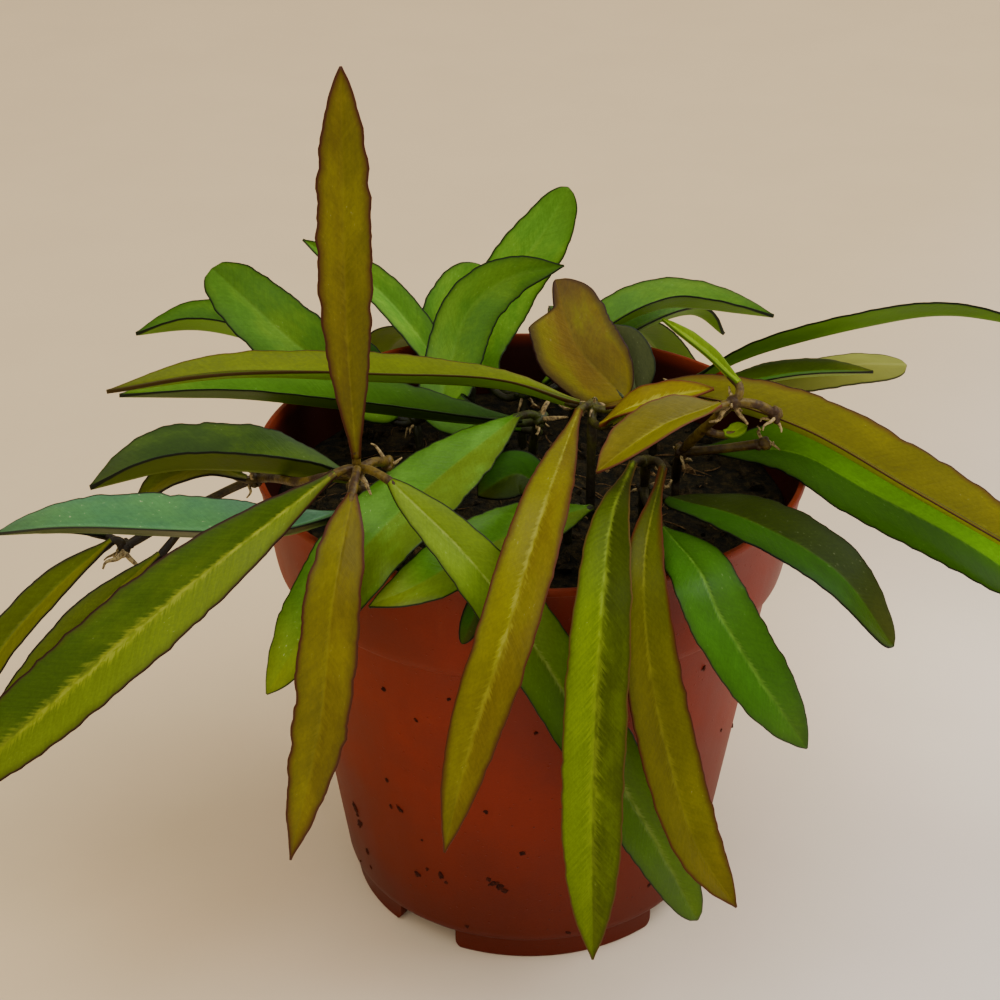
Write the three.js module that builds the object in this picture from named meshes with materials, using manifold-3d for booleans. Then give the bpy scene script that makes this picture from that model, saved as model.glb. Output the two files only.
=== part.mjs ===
// A long-leaved hoya in a 12 cm plastic nursery pot. Millimetres, +Z up.
// The origin is on the floor, on the pot's axis. The plant's front is towards -Y.

import * as THREE from 'three';
import { mergeVertices } from 'three/addons/utils/BufferGeometryUtils.js';
import Module from 'manifold-3d';

const wasm = await Module();
wasm.setup();

const GAP = 0.3;
const SHORTEST_EDGE = 0.01;

const POT = {
  rimRadius: 60,
  height: 108.5,
  wall: 1.4,
  beadHeight: 1.6,
  beadStep: 0.5,
  beadRound: 0.4,
  collarBottomRadius: 56.6,
  collarBottom: 88,
  shoulderCurve: [[55.2, 83.8], [56.2, 85.6]],
  shoulderRadius: 53.6,
  shoulderBottom: 82.6,
  footRadius: 40.4,
  footHeight: 5.6,
  footWall: 2.2,
  footFlare: [[40.4, 5], [41.6, 5.6]],
  bodyBottomRadius: 42.4,
  bodyBottom: 8,
  floor: 1.6,
  floorRadius: 38,
  sides: 48,
};

const NOTCH = { count: 4, width: 15.4, height: 5.2, firstAngle: -124, depth: 8 };
const DRAIN = { count: 6, radius: 4, ringRadius: 24, sides: 10 };

const SOIL = {
  top: 96,
  lumpHeight: 1.4,
  lumpLengths: [6, 5],
  sink: 1.4,
  floorRadius: 37.5,
  lowerCorner: [39.6, 11],
  sides: 36,
  rings: 6,
  holeFloor: 87.7,
  holeDepth: 20,
  holeSides: 8,
};

const BLADE = {
  rows: 9,
  ribThickness: 1.3,
  edgeThickness: 0.8,
  stalkHalfWidth: 1.1,
  tipHalfWidth: 0.5,
  widest: 1.1,
  fullness: 2.5,
  ripples: 2.5,
};

// How the outline closes at both ends: a low value is full and round, a high one is drawn out.
const TAPER = { pointed: 0.95, plain: 0.78, rounded: 0.52, blunt: 0.4 };

const COLOURS = {
  pot: 0x7a2f1b,
  soil: 0x2c1f17,
  greenFoliage: 0x4c7a1e,
  oliveFoliage: 0x7f7c16,
};

const OLIVE_VINES = ['vine_trailing_left', 'vine_centre', 'vine_right_node'];

// Each vine has its rising stem, then its leaves. A leaf's rib runs from the stalk's end to the
// tip; `from` is the stem point that its stalk grows from; `face` is where its upper side looks;
// `fold` is how far each half stands up from flat, in degrees; `widest` above 1 puts the blade's
// widest place nearer its tip; `lean` is how much its right half outdoes its left.
const VINES = {
  vine_trailing_left: {
    stem: [[-25, -13], [-34, -27, 112], [-36, -38, 119], [-34, -46, 127], [-46, -36, 119],
      [-57, -24, 113], [-71, -27, 107], [-84, -32, 101]],
    knots: [1, 3, 5, 7],
    twigs: [{ from: 3, path: [[-31, -41.4, 126.6], [-28.6, -36.4, 123.8]] }],
    roots: [[5, [-62, -21, 110]], [7, [-80, -35, 96]], [7, [-88, -36, 98]], [3, [-31, -50, 124]]],
    leaves: [
      { from: 3, rib: [[-34, -46, 130], [-35, -46, 157], [-35, -44, 186], [-35, -41, 207]],
        width: 10.4, face: [0.1, -1, 0.1], fold: 10, wave: 0.5 },
      { from: 3, rib: [[-38, -49, 128], [-60, -62, 115], [-85, -72, 96], [-118, -79, 67]],
        width: 16, face: [0.2, -0.7, 0.7], fold: 16, wave: 0.3, lean: 0.06 },
      { from: 3, rib: [[-34, -57, 128], [-37, -71, 113], [-40, -75, 87], [-47, -76, 55]],
        width: 11.5, face: [0, -1, 0.25], fold: 12, wave: 0.6, widest: 0.8 },
      { from: 3, rib: [[-27, -52, 128], [-11, -62, 116], [3, -64, 95], [24, -58, 52], [37, -53, 22]],
        width: 14.5, face: [0.3, -1, 0.4], fold: 16, shape: 'rounded' },
      { from: 5, rib: [[-59, -25.5, 113.8], [-66, -27, 117], [-75, -27, 114], [-82, -27, 108]],
        width: 7, face: [0, -0.5, 0.8], fold: 30 },
      { from: 7, rib: [[-86, -33, 103], [-98, -36, 93], [-109, -42, 82], [-115, -47, 70]],
        width: 9.5, face: [0, -0.6, 0.8], fold: 38 },
      { from: 6, rib: [[-76, -35, 101], [-90, -43, 90.5], [-104, -50, 75], [-114, -54, 62]],
        width: 9, face: [0, -0.5, 0.85], fold: 30 },
      { from: 7, rib: [[-88, -31, 103], [-95, -32, 105], [-104, -33, 105]],
        width: 5, face: [0, -0.3, 1], fold: 30 },
      { from: 1, rib: [[-37, -25, 114], [-54, -30, 119], [-73, -32, 120], [-89, -36, 117]],
        width: 18, face: [0, 0.05, 1], fold: 50 },
      { from: 1, rib: [[-38, -37, 112], [-50, -46, 113], [-63, -47, 113], [-89, -51, 116],
        [-104, -55, 117]], width: 15, face: [0, -0.2, 1], fold: 44 },
    ],
  },
  vine_centre: {
    stem: [[13, -8], [13, -6, 113], [13, -4, 121]],
    knots: [2],
    roots: [[2, [6, 2, 118]], [2, [18, 1, 117]]],
    leaves: [
      { from: 2, rib: [[10, -4, 121], [-7, -4, 125], [-34, -6, 126.5], [-63, -8, 127.6], [-89, -12, 126.3]],
        width: 13, face: [0, -0.1, 1], fold: 44, wave: 0.3 },
      { from: 2, rib: [[10, -9, 122], [3, -51, 123], [-5, -77, 106], [-11, -80, 85], [-16, -81, 61]],
        width: 11.5, face: [0, -0.7, 0.7], fold: 16, wave: 0.4, widest: 1.3 },
      { from: 2, rib: [[16, -6, 121], [33, -8, 125], [56, -14, 121], [79, -22, 111], [98, -30, 103],
        [118, -38, 94]], width: 17, face: [0, -0.2, 1], fold: 42 },
      { from: 2, rib: [[15, -10, 119], [23, -14, 126], [38, -12, 129]],
        width: 8, face: [0, -0.3, 1], fold: 30 },
    ],
  },
  vine_right_front: {
    stem: [[24, -14], [24, -17, 108], [24, -20, 116]],
    knots: [1, 2],
    roots: [[1, [30, -13, 108]]],
    leaves: [
      { from: 2, rib: [[21, -25, 118], [16, -48, 118], [14, -67, 108], [13, -72, 88], [13, -73, 60],
        [14, -72, 27]], width: 13, face: [0, -0.7, 0.7], fold: 18, wave: 0.3, widest: 1.5 },
      { from: 2, rib: [[27, -27, 118], [22.5, -54, 115], [22.5, -65, 104], [26, -66, 82], [34, -65, 53],
        [44, -62, 33]], width: 12.5, face: [0.1, -0.7, 0.7], fold: 20, wave: 0.4, widest: 1.7 },
      { from: 1, rib: [[29, -22, 108], [43, -45, 116], [59, -57, 112], [71, -62, 98]],
        width: 16, face: [0, -0.1, 1], fold: 12, shape: 'rounded' },
      { from: 1, rib: [[27, -38, 110], [33, -56, 111], [37, -63, 105], [45, -67, 93], [55, -68, 78]],
        width: 13.5, face: [0.1, -0.8, 0.6], fold: 10, shape: 'plain' },
    ],
  },
  vine_right_node: {
    stem: [[32, 2], [32, -10, 113], [36, -18, 123], [41, -24, 132]],
    knots: [1, 3],
    roots: [[3, [44, -24, 127]], [3, [36, -27, 129]]],
    twigs: [{ from: 1, path: [[40, -12, 115], [49, -13, 117]] },
      { from: 3, path: [[46, -23, 131], [50, -21.5, 128]] }],
    leaves: [
      { from: 3, rib: [[38, -26, 132], [26, -34, 131], [13, -42, 125]],
        width: 12, face: [0, -0.3, 1], fold: 36 },
      { from: 3, rib: [[42, -22, 135], [36, -14, 138], [27, -6, 142]],
        width: 3.8, face: [0, -0.4, 1], fold: 48 },
      { from: 1, rib: [[37, -3, 110], [56, -6, 111], [71, -15, 107], [92, -24, 99], [114, -32, 86]],
        width: 20, face: [0, -0.6, 0.8], fold: 26 },
      { from: 2, rib: [[40, -17, 121], [42, -16.5, 121], [45, -15, 122]],
        width: 4, face: [0, -0.5, 0.8], fold: 30 },
    ],
  },
  vine_back_right: {
    stem: [[28, 22], [29, 21, 109], [33, 18, 114]],
    knots: [1, 2],
    leaves: [
      { from: 2, rib: [[36, 17, 117], [50, 19, 123.5], [74, 19, 130.5], [92, 17, 134], [112, 13, 132]],
        width: 11.5, face: [0, 0.48, 0.87], fold: 20, widest: 0.9 },
      { from: 2, rib: [[38, 14, 115.5], [58, 17, 118.5], [76, 19, 118.5]],
        width: 11, face: [0, 0.1, 1], fold: 20 },
      { from: 1, rib: [[36, 23, 111], [60, 25, 114.5], [73, 28, 115.5], [85.5, 31, 114.5]],
        width: 8.5, face: [0, 0.55, -0.8], fold: 14, shape: 'blunt' },
      { from: 1, rib: [[21, 17, 112], [10, 24, 122], [5, 33, 134]],
        width: 19.5, face: [0.1, -0.85, 0.5], fold: 8, shape: 'rounded' },
      { from: 1, rib: [[24, 24, 108], [22, 28, 116], [17, 31, 124]],
        width: 12, face: [0.2, -0.8, 0.5], fold: 14 },
    ],
  },
  vine_back: {
    stem: [[-2, 24], [-2, 26, 109]],
    knots: [1],
    leaves: [
      { from: 1, rib: [[-9, 30, 108], [-12, 37, 115], [-6, 48, 126], [3, 54, 138], [8, 57, 147]],
        width: 15, face: [0.2, -0.9, 0.4], fold: 16, shape: 'rounded' },
      { from: 1, rib: [[-12, 38, 108], [-18, 45, 114], [-16, 51, 121], [-11, 56, 127]],
        width: 17, face: [0.1, -0.85, 0.5], fold: 10, shape: 'rounded' },
      { from: 1, rib: [[3, 30, 109], [16, 40, 118], [29, 48, 121], [40, 51, 120], [57, 52, 117]],
        width: 13.5, face: [0, -0.05, 1], fold: 42 },
      { from: 1, rib: [[6, 34, 107], [22, 49, 113], [38, 61, 114], [47, 68, 105]],
        width: 9, face: [0, -0.1, 1], fold: 40 },
    ],
  },
  vine_back_left: {
    stem: [[-25, 14], [-26, 16, 107]],
    knots: [1],
    leaves: [
      { from: 1, rib: [[-30, 21, 106], [-51, 32, 115], [-63, 40, 122], [-75, 47, 130]],
        width: 16, face: [0.2, -0.8, 0.6], fold: 10, shape: 'blunt' },
      { from: 1, rib: [[-31, 14, 107], [-48, 20, 117], [-61, 25, 122], [-76, 31, 122], [-91, 34, 119]],
        width: 17, face: [0, 0, 1], fold: 42 },
      { from: 1, rib: [[-23, 22, 107], [-23, 34, 113], [-34, 46, 123], [-45, 52, 129], [-54, 55, 134]],
        width: 10, face: [0.3, -0.7, 0.6], fold: 30 },
      { from: 1, rib: [[-30, 26, 108], [-39, 32, 116], [-47, 34, 121]],
        width: 6, face: [0, -0.4, 1], fold: 34 },
    ],
  },
  vine_middle: {
    stem: [[0, 4], [1, 1, 112], [2, -1, 116]],
    knots: [2],
    roots: [[2, [8, -4, 118]], [2, [5, 3, 121]]],
    leaves: [
      { from: 2, rib: [[-3, -6, 119], [-18.5, -31, 117.5], [-31.5, -55, 115.5], [-41.5, -62, 103.5],
        [-51.5, -64, 86.5]], width: 16.5, face: [0, -0.6, 0.8], fold: 10, shape: 'plain' },
      { from: 2, rib: [[-2, 1, 114], [-16, 1, 115], [-43, 1, 118], [-65, 1, 120], [-88.5, -2, 121]],
        width: 15, face: [0, -0.1, 1], fold: 42 },
      { from: 1, rib: [[-2, 10, 108], [-19, 14, 110], [-18, 24, 118], [-14, 32, 127], [-5, 36, 133],
        [7, 34, 137]], width: 14, face: [0.2, -0.8, 0.55], fold: 20 },
    ],
  },
  vine_low_front: {
    stem: [[8, -22], [9, -24, 106]],
    knots: [1],
    leaves: [
      { from: 1, rib: [[12.5, -26, 108], [2, -37, 110.5], [-11, -50.5, 111.3], [-21, -58.5, 109],
        [-31, -62.5, 106]],
        width: 13.5, face: [0, -0.55, 0.83], fold: 14 },
      { from: 1, rib: [[4, -20, 108], [-3, -19, 112], [-11, -23, 109]],
        width: 11, face: [0, -0.6, 0.8], fold: 12 },
      { from: 1, rib: [[-2, -50, 112], [-7, -59, 111], [-10, -61, 105], [-13, -61, 97]],
        width: 5, face: [0, -0.9, 0.4], fold: 10, shape: 'rounded' },
    ],
  },
  vine_rear_right: {
    stem: [[10, 40], [10, 42, 106]],
    knots: [1],
    leaves: [
      { from: 1, rib: [[9, 47, 108], [9, 62, 113], [12, 74, 97], [18, 80, 68]],
        width: 14, face: [0, 0.7, 0.7], fold: 18 },
      { from: 1, rib: [[15, 46, 106], [24, 58, 111], [35, 69, 94], [46, 76, 68]],
        width: 14, face: [0.2, 0.7, 0.7], fold: 16 },
    ],
  },
  vine_rear_left: {
    stem: [[-14, 38], [-14, 40, 105]],
    knots: [1],
    leaves: [
      { from: 1, rib: [[-13, 46, 108], [-10, 61, 113], [-14, 74, 95], [-22, 80, 64]],
        width: 14, face: [0, 0.7, 0.7], fold: 18 },
      { from: 1, rib: [[-18, 44, 107], [-26, 58, 110], [-34, 67, 94], [-42, 73, 68]],
        width: 14, face: [-0.2, 0.7, 0.7], fold: 16 },
    ],
  },
};

const STEM = { radius: 1.25, sides: 6, steps: 3, holeRadius: 1.7, uprightHeights: [88, 97, 101] };
const STALK = { radius: 1.1, sides: 5, steps: 1, sunkIn: 3, bendShare: 0.4, bendPlace: 0.6 };
const ROOT = { baseRadius: 0.9, tipRadius: 0.4, sides: 4 };
const KNOT_RADIUS = 1.9;

const point = (values) => new THREE.Vector3(...values);

// Turns a geometry into a closed solid with shared corners.
function toSolid(geometry) {
  const bare = geometry.clone();
  bare.deleteAttribute('normal');
  bare.deleteAttribute('uv');
  const merged = mergeVertices(bare, 1e-4);
  const corners = merged.index.array;
  const kept = [];
  for (let i = 0; i < corners.length; i += 3) {
    const [a, b, c] = corners.slice(i, i + 3);
    if (a !== b && b !== c && c !== a) kept.push(a, b, c);
  }
  return new wasm.Manifold(new wasm.Mesh({
    numProp: 3,
    vertProperties: merged.attributes.position.array,
    triVerts: Uint32Array.from(kept),
  }));
}

function toGeometry(solid) {
  const mesh = solid.getMesh();
  const geometry = new THREE.BufferGeometry();
  geometry.setAttribute('position', new THREE.BufferAttribute(mesh.vertProperties, 3));
  geometry.setIndex(new THREE.BufferAttribute(mesh.triVerts, 1));
  geometry.computeVertexNormals();
  return geometry;
}

function join(solids) {
  return solids.reduce((whole, solid) => whole.add(solid));
}

function tube(points, { radius, sides, steps }) {
  const curve = new THREE.CatmullRomCurve3(points, false, 'catmullrom', 0.5);
  const section = new THREE.Shape();
  for (let i = 0; i < sides; i += 1) {
    const angle = (i / sides) * 2 * Math.PI;
    section[i ? 'lineTo' : 'moveTo'](radius * Math.cos(angle), radius * Math.sin(angle));
  }
  return new THREE.ExtrudeGeometry(section, {
    steps: steps * (points.length - 1),
    extrudePath: curve,
    bevelEnabled: false,
  });
}

// Half of a blade's width, from the stalk at 0 to the tip at 1, as a share of its widest half.
function outline(along, shape, widest) {
  const fromMiddle = Math.abs(2 * along ** widest - 1);
  return (1 - fromMiddle ** BLADE.fullness) ** TAPER[shape];
}

// A blade is a flat sheet of two columns, bent along its rib, folded up from it and thickened.
function blade(leaf) {
  const { rib, width, face, fold, wave = 0, shape = 'pointed', widest = BLADE.widest, lean = 0 } = leaf;
  const curve = new THREE.CatmullRomCurve3(rib.map(point), false, 'catmullrom', 0.5);
  const upward = point(face).normalize();
  const lift = THREE.MathUtils.degToRad(fold);
  const sheet = new THREE.PlaneGeometry(2, 1, 2, BLADE.rows);
  const grid = sheet.attributes.position;
  const places = [];
  for (const layer of [-1, 1]) {
    for (let i = 0; i < grid.count; i += 1) {
      const across = grid.getX(i);
      const along = 0.5 - grid.getY(i);
      const least = THREE.MathUtils.lerp(BLADE.stalkHalfWidth, BLADE.tipHalfWidth, along);
      const full = (width / 2) * (1 + lean * across) * outline(along, shape, widest);
      const half = Math.max(least, full);
      const thickness = across ? BLADE.edgeThickness : BLADE.ribThickness;
      const tangent = curve.getTangentAt(along);
      const side = new THREE.Vector3().crossVectors(tangent, upward).normalize();
      const normal = new THREE.Vector3().crossVectors(side, tangent);
      const turns = 2 * Math.PI * BLADE.ripples * along + across;
      const ripple = wave * Math.sin(turns) * Math.sin(Math.PI * along);
      const rise = Math.abs(across) * (half * Math.sin(lift) + ripple);
      const place = curve.getPointAt(along);
      place.addScaledVector(side, across * half * Math.cos(lift));
      place.addScaledVector(normal, rise + (layer * thickness) / 2 / Math.cos(lift));
      places.push(place.x, place.y, place.z);
    }
  }
  return thicken(sheet.index.array, grid.count, places);
}

// Closes two matching layers of a sheet with walls along its outer edges.
function thicken(lower, count, places) {
  const faces = [];
  const outer = new Map();
  for (let i = 0; i < lower.length; i += 3) {
    const corners = [lower[i], lower[i + 1], lower[i + 2]];
    faces.push(...corners, corners[2] + count, corners[1] + count, corners[0] + count);
    corners.forEach((start, n) => {
      const end = corners[(n + 1) % 3];
      if (!outer.delete(`${end},${start}`)) outer.set(`${start},${end}`, [start, end]);
    });
  }
  for (const [start, end] of outer.values()) {
    faces.push(end, start, start + count, end, start + count, end + count);
  }
  const geometry = new THREE.BufferGeometry();
  geometry.setAttribute('position', new THREE.Float32BufferAttribute(places, 3));
  geometry.setIndex(faces);
  return geometry;
}

// A stalk curves from the stem into the rib and ends inside the blade.
function stalk(start, rib) {
  const base = point(rib[0]);
  const heading = point(rib[1]).sub(base).normalize();
  const reach = base.distanceTo(start);
  const bend = base.clone().addScaledVector(heading, -STALK.bendShare * reach);
  const middle = start.clone().lerp(bend, STALK.bendPlace);
  const end = base.clone().addScaledVector(heading, STALK.sunkIn);
  return tube([start, middle, base, end], STALK);
}

function root(start, tip) {
  const length = start.distanceTo(tip);
  const geometry = new THREE.CylinderGeometry(ROOT.tipRadius, ROOT.baseRadius, length, ROOT.sides);
  geometry.translate(0, length / 2, 0);
  const turn = new THREE.Quaternion().setFromUnitVectors(
    new THREE.Vector3(0, 1, 0),
    tip.clone().sub(start).normalize(),
  );
  geometry.applyQuaternion(turn);
  geometry.translate(start.x, start.y, start.z);
  return geometry;
}

// The stem stands upright in the soil before its first bend.
function stemPoints([[x, y], ...bends]) {
  return [...STEM.uprightHeights.map((height) => [x, y, height]), ...bends].map(point);
}

function vine({ stem, knots, leaves, roots = [], twigs = [] }) {
  const path = stemPoints(stem);
  const at = (index) => path[index + STEM.uprightHeights.length - 1];
  const parts = [tube(path, STEM)];
  for (const index of knots) {
    const knot = new THREE.IcosahedronGeometry(KNOT_RADIUS, 0);
    parts.push(knot.translate(...at(index).toArray()));
  }
  for (const twig of twigs) {
    const points = [at(twig.from), ...twig.path.map(point)];
    const knot = new THREE.IcosahedronGeometry(KNOT_RADIUS, 0);
    parts.push(tube(points, STEM), knot.translate(...points.at(-1).toArray()));
  }
  for (const [index, tip] of roots) parts.push(root(at(index), point(tip)));
  for (const leaf of leaves) parts.push(stalk(at(leaf.from), leaf.rib), blade(leaf));
  return join(parts.map(toSolid)).simplify(SHORTEST_EDGE);
}

function lathe(profile, sides) {
  const points = profile.map(([radius, height]) => new THREE.Vector2(radius, height));
  return new THREE.LatheGeometry(points, sides).rotateX(Math.PI / 2);
}

function upright(radius, height, sides, [x, y, bottom]) {
  const post = new THREE.CylinderGeometry(radius, radius, height, sides).rotateX(Math.PI / 2);
  return post.translate(x, y, bottom + height / 2);
}

// The inner wall's radius at a height, from the floor up through the shoulder to the rim.
const INNER_WALL = [
  [POT.bodyBottomRadius - POT.wall, POT.bodyBottom + POT.wall],
  [POT.shoulderRadius - POT.wall, POT.shoulderBottom],
  [POT.collarBottomRadius - POT.wall, POT.collarBottom - 1],
  [POT.rimRadius - POT.wall, POT.height],
];

function innerRadius(height) {
  for (let i = 1; i < INNER_WALL.length; i += 1) {
    const [r0, z0] = INNER_WALL[i - 1];
    const [r1, z1] = INNER_WALL[i];
    if (height <= z1) return r0 + ((r1 - r0) * (height - z0)) / (z1 - z0);
  }
  return POT.rimRadius - POT.wall;
}

const FLOOR_TOP = POT.footHeight + POT.floor;

function pot() {
  const beadRadius = POT.rimRadius - POT.beadStep;
  const outside = [
    [0, POT.footHeight],
    [POT.footRadius - POT.footWall, POT.footHeight],
    [POT.footRadius - POT.footWall, 0],
    [POT.footRadius, 0],
    ...POT.footFlare,
    [POT.bodyBottomRadius, POT.bodyBottom],
    [POT.shoulderRadius, POT.shoulderBottom],
    ...POT.shoulderCurve,
    [POT.collarBottomRadius, POT.collarBottom],
    [beadRadius, POT.height - POT.beadHeight],
    [POT.rimRadius, POT.height - POT.beadHeight + POT.beadRound],
    [POT.rimRadius, POT.height - POT.beadRound],
    [POT.rimRadius - POT.beadRound, POT.height],
  ];
  const inside = [...INNER_WALL].reverse();
  const profile = [...outside, ...inside, [POT.floorRadius, FLOOR_TOP], [0, FLOOR_TOP]];
  let solid = toSolid(lathe(profile, POT.sides));
  for (let i = 0; i < NOTCH.count; i += 1) {
    const angle = THREE.MathUtils.degToRad(NOTCH.firstAngle + (i * 360) / NOTCH.count);
    const block = new THREE.BoxGeometry(NOTCH.depth, NOTCH.width, 2 * NOTCH.height);
    block.translate(POT.footRadius, 0, 0).rotateZ(angle);
    solid = solid.subtract(toSolid(block));
  }
  for (let i = 0; i <= DRAIN.count; i += 1) {
    const angle = (i / DRAIN.count) * 2 * Math.PI;
    const reach = i < DRAIN.count ? DRAIN.ringRadius : 0;
    const place = [reach * Math.cos(angle), reach * Math.sin(angle), 0];
    solid = solid.subtract(toSolid(upright(DRAIN.radius, 2 * FLOOR_TOP, DRAIN.sides, place)));
  }
  return solid;
}

// The soil fills the pot to below its rim, with a lumpy top and a plain hole for each stem.
function soil() {
  const reach = innerRadius(SOIL.top) - GAP;
  const profile = [
    [0, FLOOR_TOP + GAP],
    [SOIL.floorRadius, FLOOR_TOP + GAP],
    SOIL.lowerCorner,
    [innerRadius(POT.shoulderBottom) - GAP, POT.shoulderBottom],
    [innerRadius(POT.collarBottom) - GAP, POT.collarBottom],
    [reach, SOIL.top],
  ];
  for (let i = 1; i < SOIL.rings; i += 1) {
    profile.push([reach * (1 - i / SOIL.rings), SOIL.top]);
  }
  profile.push([0, SOIL.top]);
  const plug = lathe(profile, SOIL.sides);
  const place = plug.attributes.position;
  const [lengthX, lengthY] = SOIL.lumpLengths;
  for (let i = 0; i < place.count; i += 1) {
    const [x, y, z] = [place.getX(i), place.getY(i), place.getZ(i)];
    const share = Math.hypot(x, y) / reach;
    if (z > SOIL.top - GAP && share < 1 - 1 / (2 * SOIL.rings)) {
      const lump = Math.sin(x / lengthX + 1) * Math.cos(y / lengthY);
      place.setZ(i, z + SOIL.lumpHeight * lump - SOIL.sink * share ** 2);
    }
  }
  let solid = toSolid(plug);
  for (const { stem } of Object.values(VINES)) {
    const [x, y] = stem[0];
    const floor = [x, y, SOIL.holeFloor];
    const hole = upright(STEM.holeRadius, SOIL.holeDepth, SOIL.holeSides, floor);
    solid = solid.subtract(toSolid(hole));
  }
  return solid;
}

const FINISHES = {
  pot: { color: COLOURS.pot, roughness: 0.6, metalness: 0 },
  soil: { color: COLOURS.soil, roughness: 0.95, metalness: 0 },
  greenFoliage: { color: COLOURS.greenFoliage, roughness: 0.35, metalness: 0 },
  oliveFoliage: { color: COLOURS.oliveFoliage, roughness: 0.4, metalness: 0 },
};

const plant = new THREE.Group();

function place(name, solid, finish) {
  const mesh = new THREE.Mesh(toGeometry(solid), new THREE.MeshStandardMaterial(finish));
  mesh.name = name;
  plant.add(mesh);
}

place('pot', pot(), FINISHES.pot);
place('soil', soil(), FINISHES.soil);
for (const [name, shape] of Object.entries(VINES)) {
  const finish = OLIVE_VINES.includes(name) ? FINISHES.oliveFoliage : FINISHES.greenFoliage;
  place(name, vine(shape), finish);
}

export default plant;
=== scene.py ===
"""A long-leaved hoya in a 12 cm terracotta-coloured nursery pot, dressed over its CAD frame.

Sizes are in millimetres with the plant's front towards -Y, and become metres in the meshes.
"""

import logging
import math
import random
from collections.abc import Iterable, Sequence
from dataclasses import dataclass
from enum import Enum

import bmesh
import bpy
from mathutils import Matrix, Quaternion, Vector, noise


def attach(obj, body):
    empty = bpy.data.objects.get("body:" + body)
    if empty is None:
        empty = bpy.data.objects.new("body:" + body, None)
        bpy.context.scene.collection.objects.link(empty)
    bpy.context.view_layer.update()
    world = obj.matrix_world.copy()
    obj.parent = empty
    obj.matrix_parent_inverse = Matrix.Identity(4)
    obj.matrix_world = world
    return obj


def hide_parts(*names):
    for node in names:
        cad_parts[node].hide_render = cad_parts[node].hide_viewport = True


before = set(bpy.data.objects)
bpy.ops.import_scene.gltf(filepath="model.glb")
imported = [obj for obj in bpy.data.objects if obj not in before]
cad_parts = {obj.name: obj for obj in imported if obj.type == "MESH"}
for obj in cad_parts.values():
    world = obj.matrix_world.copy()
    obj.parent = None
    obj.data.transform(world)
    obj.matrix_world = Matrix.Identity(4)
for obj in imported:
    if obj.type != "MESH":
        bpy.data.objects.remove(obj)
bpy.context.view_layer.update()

MM = 0.001
WELD = 0.001
BODY = "root"
LOG = logging.getLogger("hoya")

Point = tuple[float, ...]
Colour = tuple[float, float, float, float]
Socket = bpy.types.NodeSocket
Material = bpy.types.Material
Verts = list[bmesh.types.BMVert]


def tone(code: str) -> Colour:
    """Turn a display colour into the linear colour that a shader takes.

    Args:
        code: Six hexadecimal digits for red, green and blue.

    Returns:
        Linear red, green and blue, with an alpha of 1.
    """
    shares = [int(code[i:i + 2], 16) / 255 for i in (0, 2, 4)]
    red, green, blue = (s / 12.92 if s <= 0.04045 else ((s + 0.055) / 1.055) ** 2.4 for s in shares)
    return (red, green, blue, 1.0)


def lerp(first: float, second: float, share: float) -> float:
    """Return the value that lies at a share of the way from first to second."""
    return first + (second - first) * share


def smooth(share: float) -> float:
    """Return a share from 0 to 1 eased at both ends."""
    share = min(max(share, 0.0), 1.0)
    return share * share * (3 - 2 * share)


def only_verts(geometry: Iterable[object]) -> Verts:
    """Return the vertices among the things that a bmesh operator made."""
    return [g for g in geometry if isinstance(g, bmesh.types.BMVert)]


def turn_about(mesh: bmesh.types.BMesh, verts: Verts, angle: float, axis: str) -> None:
    """Turn vertices by an angle in radians about an axis through the origin."""
    bmesh.ops.rotate(mesh, cent=(0, 0, 0), matrix=Matrix.Rotation(angle, 3, axis), verts=verts)


def turn_profile(mesh: bmesh.types.BMesh, profile: Iterable[Point], sides: int, unit: float = 1.0) -> None:
    """Turn an outline about the upright axis into a closed form.

    Args:
        mesh: The mesh that the form is added to.
        profile: Radii and heights from the axis round to the axis again, in millimetres.
        sides: How many sides the form has.
        unit: The length of a millimetre in the mesh.
    """
    verts = [mesh.verts.new((radius * unit, 0, height * unit)) for radius, height in profile]
    edges = [mesh.edges.new(pair) for pair in zip(verts, verts[1:])]
    bmesh.ops.spin(mesh, geom=verts + edges, cent=(0, 0, 0), axis=(0, 0, 1), angle=math.tau,
                   steps=sides, use_merge=True, use_duplicate=False)
    bmesh.ops.remove_doubles(mesh, verts=mesh.verts, dist=WELD * unit)


def uneven_ball(mesh: bmesh.types.BMesh, radius: float, unevenness: float, seed: float,
                divisions: int = 3, ripples: float = 1.3) -> Verts:
    """Add a round form with an uneven surface at the origin.

    Args:
        mesh: The mesh that it is added to.
        radius: Its radius.
        unevenness: How far its surface strays, as a share of its radius.
        seed: What sets it apart from other forms of its size.
        divisions: How finely it is divided.
        ripples: How many hollows there are along its radius.

    Returns:
        The new form's vertices.
    """
    verts = bmesh.ops.create_icosphere(mesh, subdivisions=divisions, radius=radius)["verts"]
    for vert in verts:
        vert.co *= 1 + unevenness * noise.noise(vert.co / radius * ripples + Vector((seed, 0, 0)))
    return verts


def link_object(name: str, data: bpy.types.ID) -> bpy.types.Object:
    """Put a mesh, a camera or a light into the scene.

    Args:
        name: The object's name.
        data: What it shows.

    Returns:
        The new object.
    """
    made = bpy.data.objects.new(name, data)
    bpy.context.scene.collection.objects.link(made)
    return made


def link_mesh(name: str, mesh: bmesh.types.BMesh) -> bpy.types.Object:
    """Put a bmesh into the scene as an object, and free it.

    Args:
        name: The name of the object and of its mesh.
        mesh: The bmesh.

    Returns:
        The new object.
    """
    data = bpy.data.meshes.new(name)
    mesh.to_mesh(data)
    mesh.free()
    return link_object(name, data)


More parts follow.
